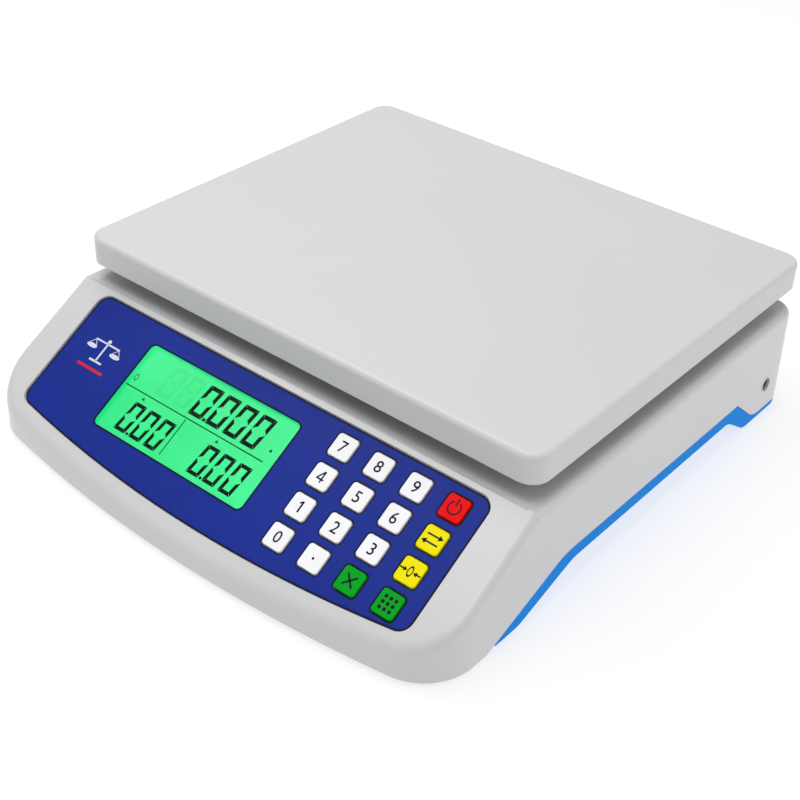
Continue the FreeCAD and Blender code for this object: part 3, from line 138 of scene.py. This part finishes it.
def make_light():
    world = bpy.data.worlds.new("studio")
    bpy.context.scene.world = world
    world.use_nodes = True
    background = world.node_tree.nodes["Background"]
    background.inputs["Color"].default_value = (1.0, 1.0, 1.0, 1.0)
    background.inputs["Strength"].default_value = 0.43
    middle = (0, 0, 0.04)
    make_softbox("overhead_softbox", (-0.1, -0.25, 1.5), middle, (1.4, 1.1), 11.6)
    make_softbox("right_softbox", (1.4, 0.75, 0.8), middle, (0.9, 0.9), 4.0)
    make_softbox("front_fill", (-0.5, -1.4, 0.7), middle, (1.0, 0.7), 0.2)
    make_softbox("edge_strip", (-0.7, 0.15, 1.1), middle, (1.1, 0.14), 4.0)


def make_floor():
    bpy.ops.object.select_all(action="DESELECT")
    bpy.ops.mesh.primitive_plane_add(size=14)
    floor = bpy.context.object
    floor.name = "floor"
    surface = Finish("pale_floor")
    surface.shader["Base Color"].default_value = (0.3, 0.3, 0.3, 1)
    surface.shader["Roughness"].default_value = 0.9
    surface.shader["Specular IOR Level"].default_value = 0.1
    surface.shader["Emission Color"].default_value = (1, 1, 1, 1)
    surface.shader["Emission Strength"].default_value = 0.72
    floor.data.materials.append(surface.material)


# ---- finishes --------------------------------------------------------------------------------

class Finish:
    """A material with its shader's sockets at hand and short ways to add patterns."""

    def __init__(self, name):
        self.material = bpy.data.materials.new(name)
        self.material.use_nodes = True
        self.nodes = self.material.node_tree.nodes
        self.links = self.material.node_tree.links
        self.shader = self.nodes["Principled BSDF"].inputs
        self.place = self.nodes.new("ShaderNodeTexCoord").outputs["Object"]

    def position(self, stretch=(1, 1, 1)):
        """Object coordinates, stretched where the finish has a direction."""
        if stretch == (1, 1, 1):
            return self.place
        mapping = self.nodes.new("ShaderNodeMapping")
        mapping.inputs["Scale"].default_value = stretch
        self.links.new(self.place, mapping.inputs["Vector"])
        return mapping.outputs["Vector"]

    def noise(self, grains_per_mm, detail=2.0, stretch=(1, 1, 1)):
        noise = self.nodes.new("ShaderNodeTexNoise")
        noise.inputs["Scale"].default_value = grains_per_mm / MM
        noise.inputs["Detail"].default_value = detail
        self.links.new(self.position(stretch), noise.inputs["Vector"])
        return noise.outputs["Fac"]

    def between(self, factor, low, high):
        """The factor's middle range spread from one number to another."""
        spread = self.nodes.new("ShaderNodeMapRange")
        spread.inputs["From Min"].default_value = 0.3
        spread.inputs["From Max"].default_value = 0.7
        spread.inputs["To Min"].default_value = low
        spread.inputs["To Max"].default_value = high
        self.links.new(factor, spread.inputs["Value"])
        return spread.outputs["Result"]

    def blend(self, factor, first, second):
        """A colour between two, by the factor."""
        ramp = self.nodes.new("ShaderNodeValToRGB")
        ramp.color_ramp.elements[0].position = 0.3
        ramp.color_ramp.elements[1].position = 0.7
        ramp.color_ramp.elements[0].color = (*first, 1)
        ramp.color_ramp.elements[1].color = (*second, 1)
        self.links.new(factor, ramp.inputs["Fac"])
        return ramp.outputs["Color"]

    def bump(self, factor, height_mm, under=None):
        bump = self.nodes.new("ShaderNodeBump")
        bump.inputs["Distance"].default_value = height_mm * MM
        self.links.new(factor, bump.inputs["Height"])
        if under is not None:
            self.links.new(under, bump.inputs["Normal"])
        return bump.outputs["Normal"]

    def to(self, socket, value):
        self.links.new(value, self.shader[socket])


def srgb(red, green, blue):
    """Linear colour of an 8-bit screen colour."""
    def linear(part):
        part /= 255
        return part / 12.92 if part <= 0.04045 else ((part + 0.055) / 1.055) ** 2.4
    return tuple(linear(part) for part in (red, green, blue))


def shade(colour, factor):
    return tuple(part * factor for part in colour)


def moulded_plastic(name, colour, roughness, grain_height=0.0015, grains_per_mm=2.2, mottle=0.02, sheen=0.5,
                    uneven=0.012):
    """Injection-moulded plastic: spark-eroded grain, faint flow mottle and uneven gloss."""
    finish = Finish(name)
    mottled = finish.blend(finish.noise(0.012, 3), shade(colour, 1 - mottle), shade(colour, 1 + mottle / 2))
    finish.to("Base Color", mottled)
    finish.to("Roughness", finish.between(finish.noise(0.05, 4), roughness - uneven, roughness + uneven))
    waviness = finish.bump(finish.noise(0.035, 1), 0.012)
    finish.to("Normal", finish.bump(finish.noise(grains_per_mm, 3), grain_height, waviness))
    finish.shader["Specular IOR Level"].default_value = sheen
    return finish.material


def membrane_film(name, colour):
    """Printed polyester: deep even ink under a fine velvet texture."""
    finish = Finish(name)
    finish.to("Base Color", finish.blend(finish.noise(0.02, 3), shade(colour, 0.93), shade(colour, 1.06)))
    finish.to("Roughness", finish.between(finish.noise(0.08, 3), 0.36, 0.46))
    finish.to("Normal", finish.bump(finish.noise(6.0, 2), 0.003))
    finish.shader["Specular IOR Level"].default_value = 0.14
    return finish.material


def key_plastic(name, colour):
    """A glossy moulded cap with slightly worn, uneven polish."""
    finish = Finish(name)
    finish.to("Base Color", finish.blend(finish.noise(0.15, 3), shade(colour, 0.96), colour))
    finish.to("Roughness", finish.between(finish.noise(0.4, 4), 0.2, 0.32))
    finish.to("Normal", finish.bump(finish.noise(3.0, 2), 0.0015))
    finish.shader["Specular IOR Level"].default_value = 0.07
    return finish.material


def printed_ink(name, colour):
    finish = Finish(name)
    finish.to("Base Color", finish.blend(finish.noise(1.5, 3), colour, shade(colour, 1.35)))
    finish.to("Roughness", finish.between(finish.noise(4.0, 2), 0.38, 0.55))
    finish.shader["Specular IOR Level"].default_value = 0.08
    return finish.material


def cast_metal(name):
    """Shot-blasted aluminium casting."""
    finish = Finish(name)
    finish.to("Base Color", finish.blend(finish.noise(0.2, 4), (0.5, 0.51, 0.52), (0.66, 0.67, 0.68)))
    finish.to("Roughness", finish.between(finish.noise(0.6, 4), 0.38, 0.58))
    finish.to("Normal", finish.bump(finish.noise(1.4, 4), 0.03))
    finish.shader["Metallic"].default_value = 1.0
    return finish.material


def plated_steel(name):
    """Zinc-plated steel with fine turning marks."""
    finish = Finish(name)
    finish.to("Base Color", finish.blend(finish.noise(0.5, 3), (0.52, 0.53, 0.52), (0.7, 0.69, 0.66)))
    finish.to("Roughness", finish.between(finish.noise(2.0, 3), 0.22, 0.4))
    finish.to("Normal", finish.bump(finish.noise(1.5, 2, stretch=(1, 1, 8)), 0.01))
    finish.shader["Metallic"].default_value = 1.0
    return finish.material


def soft_rubber(name, colour, grain=0.02):
    finish = Finish(name)
    finish.to("Base Color", finish.blend(finish.noise(0.3, 4), colour, shade(colour, 1.5)))
    finish.to("Roughness", finish.between(finish.noise(0.7, 3), 0.6, 0.82))
    finish.to("Normal", finish.bump(finish.noise(3.0, 3), grain))
    return finish.material


def circuit_laminate(name):
    """Green solder mask over copper: tracks show as a lighter raised pattern."""
    finish = Finish(name)
    brick = finish.nodes.new("ShaderNodeTexBrick")
    brick.inputs["Scale"].default_value = 0.12 / MM
    brick.inputs["Mortar Size"].default_value = 0.03
    brick.inputs["Color1"].default_value = (0.006, 0.09, 0.03, 1)
    brick.inputs["Color2"].default_value = (0.008, 0.12, 0.04, 1)
    brick.inputs["Mortar"].default_value = (0.03, 0.22, 0.07, 1)
    finish.links.new(finish.position(), brick.inputs["Vector"])
    finish.to("Base Color", brick.outputs["Color"])
    finish.to("Roughness", finish.between(finish.noise(0.5, 2), 0.3, 0.42))
    finish.to("Normal", finish.bump(brick.outputs["Fac"], 0.02))
    return finish.material


def backlit_green(name, glow_strength=0.86):
    """The display's green backlight, a little brighter over its lamps, with fine cell grain."""
    finish = Finish(name)
    low, high = srgb(14, 232, 132), srgb(46, 247, 150)
    glow = finish.blend(finish.noise(0.02, 2), low, high)
    finish.to("Base Color", finish.blend(finish.noise(5.0, 2), (0.01, 0.12, 0.04), (0.015, 0.15, 0.05)))
    finish.to("Emission Color", glow)
    finish.shader["Emission Strength"].default_value = glow_strength
    finish.shader["Roughness"].default_value = 0.35
    return finish.material


def milky_guide(name):
    finish = Finish(name)
    finish.to("Base Color", finish.blend(finish.noise(0.3, 2), (0.62, 0.8, 0.66), (0.72, 0.88, 0.76)))
    finish.to("Roughness", finish.between(finish.noise(1.0, 2), 0.3, 0.5))
    finish.shader["Subsurface Weight"].default_value = 0.3
    finish.shader["Subsurface Scale"].default_value = 2 * MM
    return finish.material


def clear_window(name):
    """Acrylic with a faint hard-coat orange peel."""
    finish = Finish(name)
    finish.to("Base Color", finish.blend(finish.noise(0.3, 2), (0.94, 0.98, 0.96), (1, 1, 1)))
    finish.to("Roughness", finish.between(finish.noise(0.8, 2), 0.02, 0.06))
    finish.to("Normal", finish.bump(finish.noise(0.12, 1), 0.004))
    finish.shader["Transmission Weight"].default_value = 1.0
    finish.shader["IOR"].default_value = 1.15
    return finish.material


def make_finishes():
    black = (0.012, 0.012, 0.014)
    return {
        "housing_plastic": moulded_plastic("housing_plastic", srgb(210, 210, 211), 0.2),
        "pan_plastic": moulded_plastic("pan_plastic", srgb(210, 210, 209), 0.4, mottle=0.01, uneven=0.008),
        "tray_plastic": moulded_plastic("tray_plastic", srgb(8, 138, 232), 0.55, sheen=0.06),
        "inlet_plastic": moulded_plastic("inlet_plastic", black, 0.4),
        "chip_plastic": moulded_plastic("chip_plastic", shade(black, 1.4), 0.5),
        "battery_case": moulded_plastic("battery_case", (0.02, 0.02, 0.022), 0.45),
        "panel_film": membrane_film("panel_film", srgb(16, 42, 142)),
        "white_key": key_plastic("white_key", srgb(252, 252, 255)),
        "red_key": key_plastic("red_key", srgb(240, 3, 4)),
        "yellow_key": key_plastic("yellow_key", srgb(248, 236, 6)),
        "green_key": key_plastic("green_key", srgb(2, 166, 36)),
        "cast_aluminium": cast_metal("cast_aluminium"),
        "zinc_steel": plated_steel("zinc_steel"),
        "black_rubber": soft_rubber("black_rubber", black),
        "grey_silicone": soft_rubber("grey_silicone", (0.1, 0.105, 0.11), 0.008),
        "white_sealant": soft_rubber("white_sealant", (0.55, 0.55, 0.52), 0.05),
        "circuit_board": circuit_laminate("circuit_board"),
        "display_glass": backlit_green("display_glass"),
        "light_guide": milky_guide("light_guide"),
        "clear_window": clear_window("clear_window"),
        "dark_print": printed_ink("dark_print", (0.006, 0.008, 0.02)),
        "white_print": printed_ink("white_print", (0.6, 0.62, 0.68)),
        "red_print": printed_ink("red_print", (0.55, 0.02, 0.04)),
        "lit_segment": printed_ink("lit_segment", (0.001, 0.006, 0.002)),
        "unlit_segment": backlit_green("unlit_segment", 0.78),
    }

def dress_frame(finishes):
    """Gives every node of the frame the finish of its material slot."""
    for name, node in frame["nodes"].items():
        node.data.materials.clear()
        node.data.materials.append(finishes[SLOTS[name]])


# ---- modelling helpers -----------------------------------------------------------------------

def start_piece(add, name, **sizes):
    """Adds a primitive on its own and opens it for editing."""
    bpy.ops.object.select_all(action="DESELECT")
    add(**sizes)
    piece = bpy.context.object
    piece.name = piece.data.name = name
    bpy.ops.object.mode_set(mode="EDIT")
    return piece


def finish_editing():
    bpy.ops.object.mode_set(mode="OBJECT")


def pick(piece, wanted, kind="faces"):
    """In edit mode, selects just the faces or vertices that wanted(item) accepts."""
    bpy.ops.object.mode_set(mode="OBJECT")
    mesh = piece.data
    for group in (mesh.vertices, mesh.edges, mesh.polygons):
        for item in group:
            item.select = False
    for item in {"vertices": mesh.vertices, "faces": mesh.polygons}[kind]:
        item.select = bool(wanted(item))
    bpy.context.tool_settings.mesh_select_mode = (kind == "vertices", False, kind == "faces")
    bpy.ops.object.mode_set(mode="EDIT")


def delete_picked():
    """Deletes the selected faces and selects what is left."""
    bpy.ops.mesh.delete(type="FACE")
    bpy.ops.mesh.select_all(action="SELECT")


def extrude_along(way):
    """Extrudes the selected flat faces along way, in metres, and turns all normals outward."""
    bpy.ops.mesh.extrude_region_move(TRANSFORM_OT_translate={"value": tuple(way)})
    bpy.ops.mesh.select_all(action="SELECT")
    bpy.ops.mesh.normals_make_consistent(inside=False)
    finish_editing()


def on_plane(centre, up, out):
    """The matrix that lays a piece drawn flat in XY on a plane: its X across, its Y along up."""
    across = up.cross(out).normalized()
    turn = Matrix((across, up, out)).transposed().to_4x4()
    return Matrix.Translation(centre) @ turn


def box_of(corners):
    """The lowest and highest corner of the box round some points."""
    low = Vector(min(corner[axis] for corner in corners) for axis in range(3))
    high = Vector(max(corner[axis] for corner in corners) for axis in range(3))
    return low, high


def corners_of(node):
    return [vertex.co for vertex in frame["nodes"][node].data.vertices]


def top_face(node, out):
    """The corners of the node's outermost flat face, seen from out."""
    corners = corners_of(node)
    highest = max(corner.dot(out) for corner in corners)
    return [corner for corner in corners if corner.dot(out) > highest - 0.02 * MM]


def top_centre(node, out):
    low, high = box_of(top_face(node, out))
    return (low + high) / 2


def on_membrane(point):
    """The point moved square to the panel, onto the membrane's face."""
    top = top_centre("panel_overlay", PANEL_OUT).dot(PANEL_OUT)
    return point + PANEL_OUT * (top - point.dot(PANEL_OUT))


def deliver(piece, body, material):
    piece.data.materials.clear()
    piece.data.materials.append(material)
    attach(piece, body)


def copy_of(pattern, name, matrix):
    """A copy with a mesh of its own, moved by the matrix."""
    twin = pattern.copy()
    twin.data = pattern.data.copy()
    twin.name = twin.data.name = name
    bpy.context.scene.collection.objects.link(twin)
    twin.data.transform(matrix)
    return twin


def join(name, pieces, matrix):
    """Joins the pieces into one and moves it by the matrix."""
    bpy.ops.object.select_all(action="DESELECT")
    for piece in pieces:
        piece.select_set(True)
    bpy.context.view_layer.objects.active = pieces[0]
    if len(pieces) > 1:
        bpy.ops.object.join()
    whole = bpy.context.object
    whole.name = whole.data.name = name
    whole.data.transform(matrix)
    return whole


# ---- flat shapes for print and display, in millimetres ---------------------------------------

def flat_bar(name, length, width, thickness=PRINT_THICKNESS):
    """A bar along X with rounded corners."""
    piece = start_piece(bpy.ops.mesh.primitive_plane_add, name, size=1)
    bpy.ops.transform.resize(value=(length * MM, width * MM, 1))
    bpy.ops.mesh.bevel(affect="VERTICES", offset=0.3 * width * MM, segments=3)
    extrude_along((0, 0, thickness * MM))
    return piece


def flat_ring(name, radius, line, gap=0.0):
    """A ring in XY; gap opens it at the top by that half angle, in degrees."""
    piece = start_piece(bpy.ops.mesh.primitive_circle_add, name, vertices=72, radius=radius * MM,
                        fill_type="NGON")
    bpy.ops.mesh.inset(thickness=line * MM)
    bpy.ops.mesh.delete(type="FACE")
    top = math.radians(90)
    pick(piece, lambda face: abs(math.atan2(face.center.y, face.center.x) - top) < math.radians(gap))
    delete_picked()
    extrude_along((0, 0, PRINT_THICKNESS * MM))
    return piece


def flat_disc(name, radius, corners=24):
    """A disc, or with three corners a triangle that points along +Y."""
    piece = start_piece(bpy.ops.mesh.primitive_circle_add, name, vertices=corners, radius=radius * MM,
                        fill_type="NGON")
    extrude_along((0, 0, PRINT_THICKNESS * MM))
    return piece


def flat_frame(name, width, height, corner, line):
    """A rounded rectangular outline; the sizes are its outer ones."""
    piece = start_piece(bpy.ops.mesh.primitive_plane_add, name, size=1)
    bpy.ops.transform.resize(value=(width * MM, height * MM, 1))
    bpy.ops.mesh.bevel(affect="VERTICES", offset=corner * MM, segments=8)
    bpy.ops.mesh.inset(thickness=line * MM)
    delete_picked()
    extrude_along((0, 0, PRINT_THICKNESS * MM))
    return piece


def flat_digit(digit):
    """One plain digit, about its own middle."""
    bpy.ops.object.select_all(action="DESELECT")
    bpy.ops.object.text_add()
    text = bpy.context.object
    text.data.body = digit
    font_digit_height = 0.72
    text.data.size = KEY_DIGIT_HEIGHT * MM / font_digit_height
    text.data.extrude = PRINT_THICKNESS / 2 * MM
    extra_weight = 0.04
    text.data.offset = extra_weight * MM
    text.data.resolution_u = 4
    bpy.ops.object.convert(target="MESH")
    piece = bpy.context.object
    low, high = box_of([vertex.co for vertex in piece.data.vertices])
    foot = (low + high) / 2
    foot.z = low.z
    piece.data.transform(Matrix.Translation(-foot))
    return piece


def shift(x=0.0, y=0.0, turn=0.0):
    """The matrix that turns a flat piece by degrees, then shifts it by millimetres."""
    return Matrix.Translation((x * MM, y * MM, 0)) @ Matrix.Rotation(math.radians(turn), 4, "Z")


def moved(piece, x=0.0, y=0.0, turn=0.0):
    piece.data.transform(shift(x, y, turn))
    return piece


def stretched(piece, x, y):
    piece.data.transform(Matrix.Diagonal((x, y, 1, 1)))
    return piece


# ---- displays --------------------------------------------------------------------------------

def segment_pattern(length, line, thickness):
    """One display segment along X, mitred at both ends; its shorter side faces -Y."""
    piece = start_piece(bpy.ops.mesh.primitive_plane_add, "segment", size=1)
    bpy.ops.transform.resize(value=(length * MM, line * MM, 1))
    pick(piece, lambda vertex: vertex.co.y < 0, "vertices")
    bpy.ops.transform.resize(value=(1 - 1.8 * line / length, 1, 1), center_override=(0, 0, 0))
    bpy.ops.mesh.select_all(action="SELECT")
    extrude_along((0, 0, thickness * MM))
    return piece


def segment_places(style):
    """Middle and turn of a digit's seven segments, about the digit's middle."""
    side = style.width / 2 - style.line / 2
    half = style.height / 2 - style.line / 2
    quarter = style.height / 4
    return {"top": (0, half, 0), "foot": (0, -half, 180), "middle": (0, 0, 0),
            "upper_left": (-side, quarter, 90), "upper_right": (side, quarter, -90),
            "lower_left": (-side, -quarter, 90), "lower_right": (side, -quarter, -90)}


def digit_pieces(middle_x, middle_y, style, segments, thickness=PRINT_THICKNESS):
    """Copies of some of a digit's segments, slanted forwards."""
    across = segment_pattern(style.width - SEGMENT_GAP, style.line, thickness)
    along = segment_pattern(style.height / 2 - SEGMENT_GAP, style.line, thickness)
    inner = segment_pattern(style.width - 2 * style.line - SEGMENT_GAP, 0.8 * style.line, thickness)
    patterns = {"top": across, "foot": across, "middle": inner}
    copies = []
    for name, place in segment_places(style).items():
        if name in segments:
            matrix = shift(middle_x, middle_y) @ DIGIT_SLANT @ shift(*place)
            copies.append(copy_of(patterns.get(name, along), "segment_" + name, matrix))
    for pattern in (across, along, inner):
        bpy.data.objects.remove(pattern)
    return copies


def row_of_zeros(style, left, foot, digits):
    """Zeros with a point after the first, from the row's left lower corner."""
    pieces = []
    for index in range(digits):
        middle_x = left + style.width / 2 + index * style.pitch
        pieces += digit_pieces(middle_x, foot + style.height / 2, style, ZERO)
    set_back = 0.8
    point_x = left + (style.width + style.pitch) / 2 - set_back
    point = flat_disc("point", 0.43 * style.line, corners=8)
    return pieces + [moved(point, point_x, foot + 0.4 * style.line)]


def front_display_marks(finishes):
    """Three rows of lit zeros, the dividing lines, pointers and two faint unlit digits."""
    spot = on_plane(top_centre("front_display", PANEL_OUT), PANEL_UP, PANEL_OUT)
    marks = row_of_zeros(BIG_DIGITS, left=-8.0, foot=3.2, digits=4)
    for left in (-39.5, 12.5):
        marks += row_of_zeros(SMALL_DIGITS, left=left, foot=-21.7, digits=3)
    marks.append(moved(flat_bar("divider_across", 96, 0.55), -3.5, 0.7))
    marks.append(moved(flat_bar("divider_along", 21.5, 0.5), -7.1, -10.8, 90))
    marks.append(moved(stretched(flat_ring("zero_mark", 1.6, 0.45), 0.75, 1.2), -48.5, 6.0))
    for x, y in ((44.5, 7.0), (-36.0, -2.1), (16.0, -2.1)):
        marks.append(moved(flat_disc("pointer", 1.1, corners=3), x, y))
    deliver(join("display_marks", marks, spot), "base", finishes["lit_segment"])
    faint = []
    for index in range(2):
        middle_x = -27.3 + index * BIG_DIGITS.pitch
        faint += digit_pieces(middle_x, 12.2, BIG_DIGITS, EIGHT, PRINT_THICKNESS / 2)
    deliver(join("unlit_marks", faint, spot), "base", finishes["unlit_segment"])


def rear_display_marks(finishes):
    """The customer's side: one row of zeros behind the rear window."""
    spot = on_plane(top_centre("rear_display", REAR_OUT), Vector((0, 0, 1)), REAR_OUT)
    marks = row_of_zeros(REAR_DIGITS, left=-24, foot=-8.5, digits=4)
    deliver(join("rear_display_marks", marks, spot), "base", finishes["lit_segment"])


# ---- key legends -----------------------------------------------------------------------------

def power_sign():
    """A ring open at the top, with a stroke in its gap."""
    return [flat_ring("power_ring", 2.9, 0.6, gap=28),
            moved(flat_bar("power_stroke", 3.2, 0.6), 0, 2.3, 90)]


def mode_sign():
    """Two arrows that pass each other."""
    pieces = []
    for side in (-1, 1):
        pieces += [moved(flat_bar("arrow_shaft", 5.4, 0.65), -side * 0.5, side * 1.5),
                   moved(flat_disc("arrow_head", 1.35, corners=3), side * 2.7, side * 1.5, -side * 90)]
    return pieces


def tare_sign():
    """A zero between two arrows that point at it."""
    pieces = []
    for side in (-1, 1):
        pieces += [moved(flat_bar("arrow_shaft", 2.0, 0.6), side * 3.7),
                   moved(flat_disc("arrow_head", 1.1, corners=3), side * 2.4, 0, side * 90)]
    return pieces + [stretched(flat_ring("tare_zero", 1.5, 0.5), 0.75, 1.5)]


def clear_sign():
    """Two crossed strokes."""
    return [moved(flat_bar("cross_stroke", 6.6, 0.75), turn=side * 45) for side in (-1, 1)]


def count_sign():
    """Three by three counted pieces."""
    pitch = 2.3
    return [moved(flat_disc("counted_piece", 0.75), column * pitch, row * pitch)
            for row in (-1, 0, 1) for column in (-1, 0, 1)]


def digit_one():
    """A one with a flag."""
    return [moved(flat_bar("one_stem", 6.0, 0.95), 0.5, 0, 90),
            moved(flat_bar("one_flag", 2.1, 0.85), -0.2, 2.1, 40)]


def digit_four():
    """A four of three strokes: a stem, a bar across it and a slanted stroke that joins them."""
    return [moved(flat_bar("four_stem", 6.0, 0.8), 0.8, 0, 90),
            moved(flat_bar("four_bar", 4.3, 0.75), 0.0, -1.3),
            moved(flat_bar("four_slope", 5.0, 0.75), -0.65, 0.75, 57)]


def point_sign():
    return [flat_disc("point_dot", 0.65)]


DRAWN_DIGITS = {"key_1": digit_one, "key_4": digit_four, "key_point": point_sign}
SIGNS = {"key_power": power_sign, "key_mode": mode_sign, "key_tare": tare_sign, "key_clear": clear_sign,
         "key_count": count_sign}


def key_legends(finishes):
    """A legend on every key: a digit, a point, or a plain sign where the key has a function."""
    for key in KEYS:
        matrix = on_plane(top_centre(key, PANEL_OUT), PANEL_UP, PANEL_OUT)
        if key in SIGNS:
            pieces = SIGNS[key]()
            matrix = matrix @ Matrix.Diagonal((SIGN_SCALE, SIGN_SCALE, 1, 1))
        elif key in DRAWN_DIGITS:
            pieces = DRAWN_DIGITS[key]()
        else:
            pieces = [flat_digit(key[-1])]
        legend = join(key.replace("key_", "legend_"), pieces, matrix)
        deliver(legend, key, finishes["dark_print"])


# ---- printed lines on the membrane -----------------------------------------------------------

def membrane_lines(finishes):
    """The dark printed line just inside the membrane's edge and round its display window."""
    lines = copy_of(frame["nodes"]["panel_overlay"], "membrane_lines", Matrix.Identity(4))
    lines.parent = None
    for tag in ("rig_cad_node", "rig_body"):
        del lines[tag]
    bpy.ops.object.select_all(action="DESELECT")
    lines.select_set(True)
    bpy.context.view_layer.objects.active = lines
    bpy.ops.object.mode_set(mode="EDIT")
    bpy.ops.mesh.select_all(action="SELECT")
    bpy.ops.mesh.remove_doubles(threshold=0.005 * MM)
    top = top_centre("panel_overlay", PANEL_OUT).dot(PANEL_OUT)
    corners = lines.data.vertices
    pick(lines, lambda face: any(corners[v].co.dot(PANEL_OUT) < top - 0.05 * MM for v in face.vertices))
    delete_picked()
    bpy.ops.mesh.inset(thickness=MEMBRANE_LINE * MM, use_boundary=True, use_even_offset=True)
    bpy.ops.mesh.delete(type="FACE")
    keys = [top_centre(key, PANEL_OUT) for key in KEYS]
    reach = 8 * MM

    def by_a_key(face):
        """Lines round the key windows are drawn by key_outlines instead."""
        ways = (face.center - key for key in keys)
        return any(max(abs(way.x), abs(way.dot(PANEL_UP))) < reach for way in ways)

    pick(lines, by_a_key)
    delete_picked()
    extrude_along(PANEL_OUT * PRINT_THICKNESS * MM)
    deliver(lines, "base", finishes["dark_print"])


def key_outlines(finishes):
    """A dark printed line round every key window of the membrane."""
    side = KEY_WINDOW + 2 * KEY_OUTLINE
    pattern = flat_frame("key_outline", side, side, KEY_WINDOW_CORNER + KEY_OUTLINE, KEY_OUTLINE)
    outlines = []
    for key in KEYS:
        centre = on_membrane(top_centre(key, PANEL_OUT))
        outlines.append(copy_of(pattern, "outline", on_plane(centre, PANEL_UP, PANEL_OUT)))
    bpy.data.objects.remove(pattern)
    whole = join("key_outlines", outlines, Matrix.Identity(4))
    deliver(whole, "base", finishes["dark_print"])


def balance_sign(finishes):
    """A plain two-dish balance in white, with a red bar under it, left of the display."""
    from_middle = -104.5
    level = top_centre("front_display", PANEL_OUT).dot(PANEL_UP) * PANEL_UP
    spot = on_plane(on_membrane(Vector((from_middle * MM, 0, 0)) + level), PANEL_UP, PANEL_OUT)
    pieces = [moved(flat_bar("balance_beam", 18, 0.9), 0, 13),
              moved(flat_bar("balance_post", 12, 1.1), 0, 8, 90),
              moved(flat_bar("balance_foot", 9, 1.1), 0, 2),
              moved(flat_disc("balance_knob", 1.2), 0, 14.4)]
    for side in (-1, 1):
        hang = side * 8.6
        pieces.append(moved(stretched(flat_disc("balance_dish", 3.6, corners=32), 1, 0.35), hang, 8.8))
        for lean in (-1, 1):
            cord = flat_bar("balance_cord", 4.6, 0.35)
            pieces.append(moved(cord, hang + lean * 1.5, 11.0, 90 + lean * 40))
    deliver(join("balance_sign", pieces, spot), "base", finishes["white_print"])
    bar = moved(flat_bar("accent_bar", 19, 1.6), 0, -2.5)
    deliver(join("accent_bar", [bar], spot), "base", finishes["red_print"])


# ---- small moulded details -------------------------------------------------------------------

def inlet_ring(finishes):
    """A raised bead round the power inlet's hole, square to the drafted side wall."""
    draft = math.radians(1.5)
    hole_radius = 3.75 * MM
    out = Vector((math.cos(draft), 0, math.sin(draft)))
    up = Vector((-math.sin(draft), 0, math.cos(draft)))
    low, high = box_of(corners_of("power_inlet"))
    hole = (low + high) / 2
    wall = cad_box[1][0]
    hole.x = wall - 0.6 * MM
    rim = [corner for corner in corners_of("upper_housing")
           if corner.x > wall - 2 * MM and abs((corner - hole).length - hole_radius) < 0.3 * MM]
    reach = sum(corner.dot(out) for corner in rim) / len(rim)
    ring = start_piece(bpy.ops.mesh.primitive_torus_add, "inlet_ring", major_segments=64, minor_segments=16,
                       major_radius=4.6 * MM, minor_radius=0.75 * MM)
    bpy.ops.transform.resize(value=(1, 1, 0.45))
    finish_editing()
    ring.data.transform(on_plane(hole + out * (reach - hole.dot(out)), up, out))
    deliver(ring, "base", finishes["housing_plastic"])


def ridge_bead(finishes):
    """The rounded crest where the sloping panel meets the housing's flat top."""
    radius = 0.9 * MM
    proud = 0.06 * MM
    low, high = box_of(top_face("upper_housing", Vector((0, 0, 1))))
    ridge = Vector((0, low.y, high.z))
    bead = start_piece(bpy.ops.mesh.primitive_cylinder_add, "ridge_bead", radius=radius, depth=286 * MM,
                       vertices=48)
    bpy.ops.transform.rotate(value=math.pi / 2, orient_axis="Y", center_override=(0, 0, 0))
    finish_editing()
    lean = PANEL_SLOPE / 2
    sunk = Vector((0, -math.sin(lean), math.cos(lean))) * (radius / math.cos(lean) - proud)
    bead.data.transform(Matrix.Translation(ridge - sunk))
    deliver(bead, "base", finishes["housing_plastic"])
    for face in bead.data.polygons:
        face.use_smooth = abs(face.normal.x) < 0.5


def door_ribs(finishes):
    """Grip ribs on the underside of the battery door, at its free edge."""
    first, pitch = -25, 2.2
    spot = on_plane(top_centre("battery_door", DOWN), Vector((0, 1, 0)), DOWN)
    ribs = [moved(flat_bar("grip_rib", 22, 1.0, thickness=0.5), 0, first + index * pitch)
            for index in range(5)]
    deliver(join("door_ribs", ribs, spot), "base", finishes["tray_plastic"])


# ---- making it all ---------------------------------------------------------------------------

bpy.context.scene.view_settings.view_transform = "Standard"
make_camera()
make_light()
make_floor()
finishes = make_finishes()
dress_frame(finishes)
front_display_marks(finishes)
rear_display_marks(finishes)
key_legends(finishes)
membrane_lines(finishes)
key_outlines(finishes)
balance_sign(finishes)
inlet_ring(finishes)
ridge_bead(finishes)
door_ribs(finishes)
